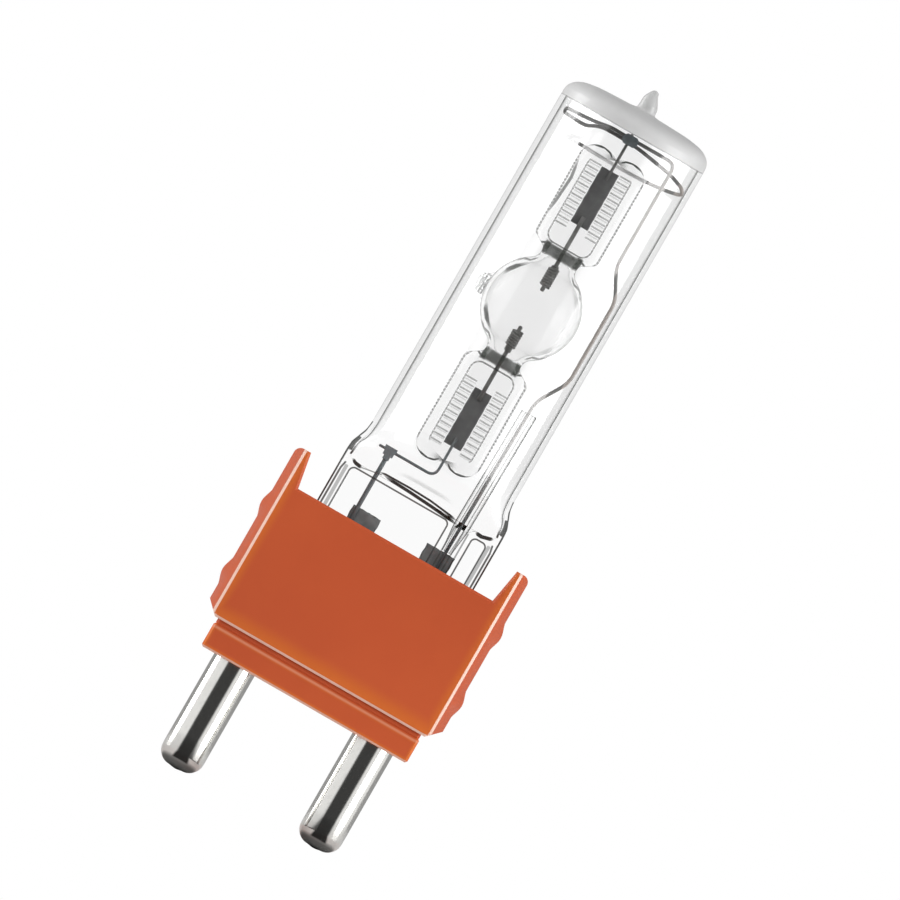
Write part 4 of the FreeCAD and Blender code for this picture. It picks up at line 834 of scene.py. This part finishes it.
class LAMP_OT_burner(LampOperator, bpy.types.Operator):
    """The quartz burner: bulb with its nub, two necks and two ribbed seals"""
    bl_idname = "lamp.burner"
    bl_label = "Quartz burner"

    # Painted shade: dark lines standing in for the quartz's refraction, as (strength, width,
    # taper, knots). Away is the distance up or down from the arc, and side the distance from the
    # middle. Knots are (side, away) in the first three.
    lobe_lines = [
        (1.0, 0.3, 0.3, [(1.2, 40.9), (2.3, 41.7), (3.8, 42.1), (6.5, 41.6), (8.0, 40.7),
                         (8.6, 39.2)])]
    wedge_lines = [(1.0, 0.35, 0.3, [(4.8, 15.6), (7.4, 14.3)]),
                   (0.6, 0.2, 0.3, [(4.6, 12.4), (7.4, 11.0)])]
    shoulder_lines = [(1.0, 0.35, 1.0, [(4.4, 11.6), (6.0, 10.0), (7.6, 9.6), (9.2, 8.0)]),
                      (1.0, 0.25, 1.0, [(5.2, 12.6), (6.6, 10.9), (8.4, 9.6)])]
    # Knots are (away, side) in the next two, (away, across) in the third, (up, across) in the
    # last.
    tooth_lines = [(1.0, 0.3, 0.3, [(15.2, 7.2), (17.0, 8.3), (39.0, 8.45)])]
    wall_lines = [(1.0, 0.8, 2.5, [(3.6, 10.1), (5.5, 9.4), (7.5, 7.9), (9.6, 5.4)])]
    rim_lines = [
        (1.0, 0.5, 1.5, [(-3.0, 12.05), (0.0, 12.05), (4.0, 11.35), (7.0, 9.9), (9.0, 8.1)])]
    left_lines = [
        (1.0, 0.55, 5.0, [(129.5, -8.3), (135.0, -7.8), (141.0, -7.4), (147.5, -8.3)])]

    # Each seal: up or down, how far from the arc it ends, its first ridge and their pitch.
    seals = ((1, 42.2, 21.2, 1.52), (-1, 43.4, 21.5, 1.55))
    ridges_each = 12
    tooth_pitch = 0.9

    def pressing(self, finish, place, across, up):
        """Painted shade on both seals, standing in for their refraction: the window's outline, the
        ridges with a fainter line between, the serrated sides and the lobes at the end."""
        middle = self.mm("arc_height")
        side = across.size()
        away = (up - middle).most((middle - up) * 0.972)
        cloud = finish.noise(place, 0.8, 3.0)
        window = finish.outline(across, away, (0.0, 27.9), (5.75, 11.55), 2.4, 0.2)
        window = window * (1.0 - finish.rise(away, 37.4, 38.6))
        lobes = finish.strokes(side, away, self.lobe_lines)
        teeth = finish.rows(away, 20.0, self.tooth_pitch, 0.3)
        serrated = finish.strokes(away, side, self.tooth_lines) * (0.35 + teeth * 0.65)
        between = finish.within(away, 20.8, 38.4) * finish.rows(up, 146.5, 1.527, 0.12) * 0.35
        ridges = strongest(
            finish.within(up, 129.8, 147.8) * finish.rows(up, 147.1, 1.527, 0.18),
            finish.within(up, 69.6, 88.2) * finish.rows(up, 87.6, 1.55, 0.18), between)
        ridges = ridges * finish.within(side, 2.6, 5.6) * (0.1 + cloud)
        left = finish.strokes(up, across, self.left_lines)
        window = window * (0.3 + teeth * 0.5 * (1.0 - finish.rise(side, 5.9, 6.1)) + cloud * 0.4)
        return strongest(window, lobes, serrated, ridges, left)

    def marks(self, finish, place, across, deep, up):
        """Painted shade standing in for the quartz's refraction: the two thick necks as grey-green
        bands with black ends, the lines of the pressed seals, the strokes where the bulb runs into
        its necks, on its wall and on the nub, and a darker rim and right side of the bulb."""
        middle = self.mm("arc_height")
        away, side = (up - middle).size(), across.size()
        cloud = finish.noise(place, 0.6, 3.0)
        band = finish.within(away + cloud * 0.8, 13.6, 16.3, 0.35)
        neck = band * (1.0 - finish.rise(side, 4.6, 5.2)) * (0.45 + cloud * 0.5)
        blobs = (finish.within(away + cloud, 13.6, 16.6, 0.4)
                 * finish.within(side + cloud, 4.0, 5.5, 0.3))
        wedge = finish.strokes(side, away, self.wedge_lines)
        lines = self.pressing(finish, place, across, up)
        wall = finish.strokes(away, side, self.wall_lines, 0.4)
        wall = wall * (1.0 - finish.rise(across, -4.0, 0.0) * 0.85)
        shoulders = finish.strokes(side, away, self.shoulder_lines)
        stub = finish.within(up - middle, -3.0, 2.6) * (1.0 - finish.rise(across, -12.2, -12.0))
        stub = stub * finish.rows(across + cloud * 2.4, -12.6, 0.75, 0.22, 0.12)
        rim = finish.strokes(away, across, self.rim_lines, 0.5)
        # Painted shade on the bulb's right side.
        shaded = finish.rise(across, 8.9, 9.2) * (1.0 - finish.rise(away, 7.0, 9.0))
        share = strongest(lines * 0.55, neck, blobs * 0.85, wedge * 0.7, wall * 0.75,
                          shoulders * 0.5, stub * 0.65, rim * 0.45, shaded * 0.16)
        return share, full(self.colours.glass_shade, 0.8), 0.4

    def outer(self):
        """Sections through both seals, the necks and the bulb, with the windows, ridges, teeth
        and lobes pressed into the seals."""
        middle, radius = self.mm("arc_height"), self.mm("bulb_radius")
        half_wide, half_deep, bulb_stretch, tooth = 8.6, 2.6, 1.03, 0.1
        seal = [(17.6, half_wide, half_deep, 5.0), (16.6, 8.3, 2.9, 3.6),
                (15.4, 6.6, 3.9, 2.4), (14.2, 5.0, 4.8, 2.0), (13.2, 4.8, 4.8, 2.0),
                (12.5, 4.9, 4.9, 2.0)]
        knots = [(middle - 43.4, half_wide, half_deep, 5.0)]
        knots += [(middle - away, *section) for away, *section in seal]
        for angle in np.radians(np.linspace(-62, 62, 31)):
            reach = radius * math.cos(angle)
            knots.append((middle + radius * math.sin(angle) * bulb_stretch, reach, reach, 2.0))
        knots += [(middle + away, *section) for away, *section in reversed(seal)]
        knots.append((middle + 42.2, half_wide, half_deep, 5.0))
        rows = middle + heights((-43.4, -17.8, 230), (-17.6, -11.4, 26), (-11.2, 11.2, 48),
                                (11.4, 17.6, 26), (17.8, 42.2, 190))
        across, deep = rounds(*smooth_curve(knots, rows).T, 160, 1.5)
        height = np.broadcast_to(rows[:, None], across.shape).copy()
        distance = height - middle
        for side, end, first, pitch in self.seals:
            away = distance * side
            deep = self.press(across, deep, away, end, first, pitch)
            teeth = (tooth * np.sin(2 * np.pi * away / self.tooth_pitch) * step(away, 19.5, 20.5)
                     * (1 - step(away, end - 6.5, end - 5.0)))
            across = across + np.sign(across) * teeth * step(np.abs(across), 6.6, 8.2)
            lobe = 4.3
            past = np.abs(across) - lobe
            curve = lobe - np.sqrt(np.maximum(lobe ** 2 - past ** 2, 0.0))
            dip = np.where(past < 0, 1.3 * (past / lobe) ** 2, curve)
            height = height - side * step(away, end - 5.0, end) * dip
            deep = deep * np.sqrt(1 - step(away, end - 1.6, end) * 0.995)
        return ring_grid(across, deep, height)

    def press(self, across, deep, away, end, first, pitch):
        """The window pressed into a seal's faces, and the ridges that cross it: a raised cosine
        at every pitch."""
        left = np.abs(across)
        corner = 3.0
        edge = past_edges(left - (5.7 - corner), (16.4 + corner) - away)
        window = 1 - step(edge, corner - 0.25, corner + 0.3)
        window *= 1 - step(away, end - 2.9, end - 2.5)
        cycle = (away - first) / pitch
        ridge = 0.25 * np.maximum(np.cos(2 * np.pi * cycle), 0.0) ** 2
        ridge *= (cycle > -0.25) & (cycle < self.ridges_each - 0.75)
        ridge *= 1 - step(left, 5.0, 5.5)
        sunk = np.sign(deep) * (1.5 + ridge)
        return np.where(np.abs(deep) > 1.2, deep + (sunk - deep) * window, deep)

    def cavity(self):
        """The hollow: a circle of the inner radius, run on into both necks and closed at the
        rods."""
        middle = self.mm("arc_height")
        inner = self.mm("bulb_radius") - self.mm("bulb_wall")
        neck = [(0.3, 13.4), (1.6, 13.3), (2.8, 12.9), (3.4, 12.3), (3.7, 11.6), (4.3, 10.8)]
        profile = [(reach, middle - away) for reach, away in neck]
        profile += [(inner * math.cos(angle), middle + inner * math.sin(angle))
                    for angle in np.radians(np.linspace(-64, 64, 60))]
        profile += [(reach, middle + away) for reach, away in reversed(neck)]
        return turned_form(profile, (0.1, 0.0), 96)

    def nub(self):
        """The tip-off stub: a cone with a soft end, carried round an axis along -X."""
        profile = np.array([(-11.6, 3.9), (-12.0, 3.4), (-12.6, 2.9), (-13.5, 2.55),
                            (-14.2, 2.3), (-14.6, 1.8), (-14.78, 1.0), (-14.8, 0.1)])
        turn = around(40)
        across, radius = profile[:, :1] + 0 * turn, profile[:, 1:]
        return ring_grid(across, -radius * np.sin(turn),
                         self.mm("arc_height") - 0.3 + radius * np.cos(turn))

    def execute(self, context):
        quartz = thin_glass("burner_quartz", self.colours, self.marks)
        hollow = thin_glass("burner_hollow", self.colours)
        shape = Shape().skin(self.outer()).skin(self.cavity(), slot=1, turned=True)
        shape.skin(self.nub(), capped=(False, True))
        shape.piece("burner_glass", [quartz, hollow], "burner_quartz", "arc_tube")
        return {"FINISHED"}


class LAMP_OT_sleeve(LampOperator, bpy.types.Operator):
    """The quartz sleeve round the lower half of the return lead"""
    bl_idname = "lamp.sleeve"
    bl_label = "Quartz sleeve"

    def execute(self, context):
        foot, head = np.array([11.45, -0.44, 48.5]), np.array([12.1, -0.44, 87.1])
        path = foot + (head - foot) * np.linspace(0.0, 1.0, 40)[:, None]
        opened = step(path[:, 2:], 48.0, 56.5)    # squeezed where the pinch holds it
        turn = around(40)
        outside, inside = [
            ring_grid(path[:, :1] + radius * np.cos(turn), path[:, 1:2] + radius * np.sin(turn),
                      path[:, 2:])
            for radius in (1.35 + 0.7 * opened, 0.8 + 0.3 * opened)]
        grid = np.concatenate([outside, inside[::-1], outside[:1]])
        Shape().skin(grid, capped=(False, False)).piece(
            "sleeve_tube", [thin_glass("sleeve_quartz", self.colours)], "burner_quartz",
            "quartz_sleeve")
        return {"FINISHED"}


class LAMP_OT_electrodes(LampOperator, bpy.types.Operator):
    """Two tungsten rods with their wound heads"""
    bl_idname = "lamp.electrodes"
    bl_label = "Electrodes"

    def execute(self, context):
        tungsten = self.dull("tungsten")
        rod = 0.525
        # Each electrode: up or down, and how long its outer winding and the tail below are.
        for side, name, long, tail in ((1, "upper", 5.3, 0.7), (-1, "lower", 4.6, 1.4)):
            low, high = cad(name + "_electrode_rod")
            tip, root = (low[2], high[2]) if side > 0 else (high[2], low[2])
            profile = [(0.1, tip), (0.4, tip + 0.08 * side), (rod, tip + 0.3 * side),
                       (rod, tip + 5.0 * side), (rod, root)][::side]
            Shape().skin(turned_form(profile, (0.0, 0.0), 32)).piece(
                name + "_rod", [tungsten], "electrode_metal", name + "_electrode_rod")
            start = tip + 1.15 * side
            end = start + long * side
            shape = Shape()
            # Each layer of the winding: its ends, radius and pitch, the wire's radius and sides.
            for first, last, radius, pitch, thick, sides in (
                    (start + 0.3 * side, end - 0.3 * side, 1.12, 0.66, 0.33, 12),
                    (start + 0.2 * side, end + tail * side - 0.2 * side, 0.74, 0.42, 0.22, 10)):
                shape.skin(wire_grid(helix(first, last, radius, pitch), thick, (0, 0, 1), sides))
            shape.piece(name + "_winding", [tungsten], "electrode_metal",
                        name + "_electrode_coil")
        return {"FINISHED"}


class LAMP_OT_foils(LampOperator, bpy.types.Operator):
    """The four sealing foils, slightly creased"""
    bl_idname = "lamp.foils"
    bl_label = "Sealing foils"

    @staticmethod
    def sheet(low, high, crease, ragged):
        """A flat ring of points round the foil's section at each height, its width uneven by
        the ragged amount and its middle waved by the crease."""
        rows = np.linspace(low[2], high[2], 60)
        middle = (low + high) / 2
        half_wide = (high[0] - low[0]) / 2 - ragged + ragged * np.sin(rows * 2.1) * 0.5
        half_deep = np.full(rows.shape, (high[1] - low[1]) / 2)
        across, deep = rounds(half_wide, half_deep, np.full(rows.shape, 2.6), 64, 8.0)
        wave = crease * (np.sin(rows[:, None] * 1.3 + across * 0.9) - 0.3 * np.sin(across * 2.2))
        near_top = step(rows, rows[-1] - 0.8, rows[-1])[:, None]
        torn = near_top * ragged * (np.sin(across * 3.1) - 1)
        return ring_grid(across + middle[0], deep + middle[1] + wave, rows[:, None] + torn)

    def execute(self, context):
        for pair, finish, crease, ragged in (
                (("left_seal_foil", "right_seal_foil"), "pinch_foil", 0.05, 0.12),
                (("upper_arc_foil", "lower_arc_foil"), "sealing_foil", 0.03, 0.06)):
            metal = self.dull(finish)
            for name in pair:
                Shape().skin(self.sheet(*cad(name), crease, ragged)).piece(
                    name + "_sheet", [metal], "sealing_foil", name)
        return {"FINISHED"}


class LAMP_OT_leads(LampOperator, bpy.types.Operator):
    """The post, the return lead and the leads of the burner and the base"""
    bl_idname = "lamp.leads"
    bl_label = "Leads"

    # Each lead: its radius, how far a bend reaches, and the corners of its route.
    routes = {
        "left_post": (0.56, 1.0, [
            (-12.3, -0.54, 42.5), (-12.3, -0.54, 50.0), (-12.32, -0.54, 56.0),
            (-12.28, -0.54, 62.15)]),
        "return_lead": (0.45, 2.2, [
            (11.25, -0.44, 43.3), (11.6, -0.44, 70.0), (12.0, -0.46, 90.4), (16.6, -0.72, 98.0),
            (16.6, -0.72, 120.4), (12.6, -0.72, 127.8), (12.6, -0.72, 156.15),
            (-0.9, -0.72, 156.15)]),
        "upper_arc_lead": (0.375, 1.0, [
            (0.2, 0.15, 144.6), (0.2, 0.15, 150.0), (0.22, 0.15, 157.3)]),
        "lower_arc_lead": (0.35, 2.3, [
            (0.0, 0.18, 73.5), (0.0, 0.18, 68.0), (0.0, 0.18, 62.8), (-8.0, 0.18, 62.85),
            (-15.3, 0.18, 62.8)]),
        "left_outer_lead": (0.6, 1.0, [
            (-9.65, -0.59, 11.0), (-9.65, -0.59, 19.0), (-9.65, -0.59, 27.0)]),
        "right_outer_lead": (0.6, 1.0, [
            (10.2, -0.59, 11.0), (10.2, -0.59, 19.0), (10.2, -0.59, 27.0)]),
    }

    def execute(self, context):
        wire = self.dull("drawn_wire")
        for node, (radius, reach, points) in self.routes.items():
            Shape().skin(wire_grid(bent(points, reach), radius, (0, 1, 0), 20)).piece(
                node + "_wire", [wire], "lead_wire", node)
        return {"FINISHED"}


class LAMP_OT_spring(LampOperator, bpy.types.Operator):
    """The bent wire that rests against the glass below the dome, in the leads' finish"""
    bl_idname = "lamp.spring"
    bl_label = "Support spring"

    route = [
        (2.6, 1.02, 156.15), (-1.5, 1.02, 156.1), (-5.0, 0.4, 156.2), (-8.0, -1.4, 155.6),
        (-12.0, -3.8, 155.2), (-16.4, -6.2, 155.0), (-16.6, -2.0, 154.7), (-16.6, 2.0, 154.1),
        (-16.4, 6.0, 153.7), (-12.0, 4.6, 153.5), (-10.3, 3.9, 153.6), (-8.6, 3.0, 154.6),
        (-6.5, 2.2, 155.2), (-2.0, 1.1, 155.25), (3.0, 1.02, 155.0), (9.0, 0.9, 154.0),
        (13.5, 0.7, 153.2), (16.8, 0.4, 151.9), (17.6, 1.2, 150.7), (17.0, 4.6, 150.2),
        (14.2, 10.4, 149.6), (8.8, 15.2, 148.9), (2.0, 17.4, 148.7), (-4.6, 16.9, 148.8),
        (-9.9, 14.3, 149.0)]

    def execute(self, context):
        path = bent(self.route, 3.0, 8)
        Shape().skin(wire_grid(path, 0.45, (0, 0, 1), 20)).piece(
            "support_spring_wire", [bpy.data.materials["drawn_wire"]], "lead_wire",
            "top_support_spring")
        return {"FINISHED"}


class LAMP_OT_clamps(LampOperator, bpy.types.Operator):
    """The crimp on top and the clip on the post"""
    bl_idname = "lamp.clamps"
    bl_label = "Clamps"

    def execute(self, context):
        metal = self.dull("clamp_strip")
        for node in ("top_clamp", "post_clamp"):
            softened(node, node + "_strip", metal, 0.12 * MM, 2)
        return {"FINISHED"}


class LAMP_OT_hardware(LampOperator, bpy.types.Operator):
    """What the base hides: tags, nuts and cement"""
    bl_idname = "lamp.hardware"
    bl_label = "Hidden hardware"

    def execute(self, context):
        brass, steel = self.dull("tag_brass"), self.dull("nut_steel")
        for side in ("left", "right"):
            softened(side + "_pin_tag", side + "_tag", brass, 0.1 * MM, 2)
            softened(side + "_pin_nut", side + "_nut", steel, 0.15 * MM, 2)
        softened("base_cement", "cement_cast", self.dull("cast_cement"), 0.3 * MM, 2)
        return {"FINISHED"}


class LAMP_OT_stage(LampOperator, bpy.types.Operator):
    """Floor, backdrop light, soft lamps and camera"""
    bl_idname = "lamp.stage"
    bl_label = "Stage"

    # Each soft box: azimuth in degrees, distance, width, height, watts, its own height above
    # the seat, and whether the lamp mirrors it. Azimuth 0 is in front, 90 to the right.
    boxes = {
        "left_box": (-100.0, 0.9, 0.42, 1.0, 7.5, 0.12, True),
        "right_box": (71.0, 0.9, 0.5, 1.0, 7.5, 0.12, True),
        "right_back_box": (114.5, 0.9, 0.2, 1.0, 2.0, 0.12, False),
        "front_box": (-25.0, 1.6, 0.8, 0.8, 7.0, 0.9, False),
    }
    lean = math.radians(29.92)
    view_width = 0.21505
    viewpoint = (0.0, -1.5, 0.07014)

    def floor(self):
        """White paper. In reflections it goes by its place beside the nearer pin: dark ahead of
        it and right under it, pale at its sides."""
        gap, half = 0.0002, 4
        low = cad_box[0][2] - gap
        mesh = bpy.data.meshes.new("floor")
        mesh.from_pydata([(-half, -half, low), (half, -half, low), (half, half, low),
                          (-half, half, low)], [], [(0, 1, 2, 3)])
        finish = new_finish("floor_paper")
        place, (across, deep, _) = finish.place()
        grain = finish.noise(place, 0.02, 2.0)
        paper = finish.node("BsdfDiffuse", {}, {
            "Color": finish.blend(grain, grey(0.82), grey(0.86))})
        beside = across.size() - self.mm("pin_spacing") / 2
        reach = (beside ** 2.0 + deep ** 2.0) ** 0.5
        ahead = finish.rise((0.0 - deep) / reach, 0.76, 0.88) * finish.rise(reach, 6.0, 8.0)
        near = finish.blend(finish.rise(reach, 5.0, 11.0), grey(0.16), grey(0.72))
        mirrored = finish.node("BsdfDiffuse", {}, {
            "Color": finish.blend(ahead, near, grey(0.03))})
        glossy = finish.node("LightPath", output="Is Glossy Ray")
        mesh.materials.append(finish.close(finish.mix(glossy, paper, mirrored)))
        floor = bpy.data.objects.new("floor", mesh)
        bpy.context.scene.collection.objects.link(floor)

    def backdrop(self):
        """White behind the lamp, a level light on it, and for reflections a dark studio in
        front, white at the sides and grey behind."""
        finish = Finish(bpy.data.worlds.new("studio"))
        deep = finish.split(finish.node("TexCoord", output="Generated"))[1]
        ahead = finish.rise(0.0 - deep, 0.79, 0.87)
        behind = finish.rise(deep, 0.28, 0.45)
        mirrored = 1.1 - ahead * 1.03 - behind * 0.78
        level, reflection, white = [
            finish.node("Background", {}, {"Color": grey(1.0), "Strength": strength})
            for strength in (0.46, mirrored, 1.0)]
        camera, glossy = [finish.node("LightPath", output=ray)
                          for ray in ("Is Camera Ray", "Is Glossy Ray")]
        unseen = finish.mix(glossy, level, reflection)
        bpy.context.scene.world = finish.close(finish.mix(camera, unseen, white), "OutputWorld")

    def soft_box(self, name, azimuth, distance, width, height, power, lift, mirrored):
        """A rectangle of light that looks at the lamp."""
        angle = math.radians(azimuth)
        target = Vector((0.0, 0.0, 0.08))
        spot = Vector((math.sin(angle) * distance, -math.cos(angle) * distance, lift))
        light = bpy.data.lights.new(name, "AREA")
        light.shape = "RECTANGLE"
        light.size = width
        light.size_y = height
        light.energy = power
        box = bpy.data.objects.new(name, light)
        box.location = spot
        box.rotation_euler = (target - spot).to_track_quat("-Z", "Y").to_euler()
        box.visible_camera = False
        box.visible_glossy = mirrored
        bpy.context.scene.collection.objects.link(box)

    def camera(self):
        """Square to the front, without perspective, rolled so that the lamp leans right."""
        data = bpy.data.cameras.new("camera")
        data.type = "ORTHO"
        data.ortho_scale = self.view_width
        data.clip_end = 20.0
        camera = bpy.data.objects.new("camera", data)
        right = Vector((math.cos(self.lean), 0.0, math.sin(self.lean)))
        up = Vector((-math.sin(self.lean), 0.0, math.cos(self.lean)))
        back = Vector((0.0, -1.0, 0.0))
        turn = Matrix((right, up, back)).transposed().to_4x4()
        camera.matrix_world = Matrix.Translation(Vector(self.viewpoint)) @ turn
        bpy.context.scene.collection.objects.link(camera)
        bpy.context.scene.camera = camera

    def execute(self, context):
        self.floor()
        self.backdrop()
        for name, values in self.boxes.items():
            self.soft_box(name, *values)
        self.camera()
        bpy.context.scene.view_settings.view_transform = "Standard"
        return {"FINISHED"}


class LAMP_PT_panel(bpy.types.Panel):
    """Lists the sizes, the colours and the pieces of the lamp"""
    bl_idname = "LAMP_PT_panel"
    bl_label = "Metal halide lamp"
    bl_space_type = "VIEW_3D"
    bl_region_type = "UI"
    bl_category = "Lamp"

    def draw(self, context):
        for group in (context.scene.lamp_sizes, context.scene.lamp_colours):
            for name in group.__annotations__:
                self.layout.prop(group, name)
        for operator in OPERATORS:
            self.layout.operator(operator.bl_idname)


OPERATORS = (LAMP_OT_base, LAMP_OT_pins, LAMP_OT_jacket, LAMP_OT_burner, LAMP_OT_sleeve,
             LAMP_OT_electrodes, LAMP_OT_foils, LAMP_OT_leads, LAMP_OT_spring, LAMP_OT_clamps,
             LAMP_OT_hardware, LAMP_OT_stage)
CLASSES = (LampSizes, LampColours) + OPERATORS + (LAMP_PT_panel,)


def register():
    for cls in CLASSES:
        bpy.utils.register_class(cls)
    bpy.types.Scene.lamp_sizes = PointerProperty(type=LampSizes)
    bpy.types.Scene.lamp_colours = PointerProperty(type=LampColours)


def unregister():
    del bpy.types.Scene.lamp_colours
    del bpy.types.Scene.lamp_sizes
    for cls in reversed(CLASSES):
        bpy.utils.unregister_class(cls)


def main():
    register()
    for operator in OPERATORS:
        group, name = operator.bl_idname.split(".")
        getattr(getattr(bpy.ops, group), name)()


if __name__ == "__main__":
    main()
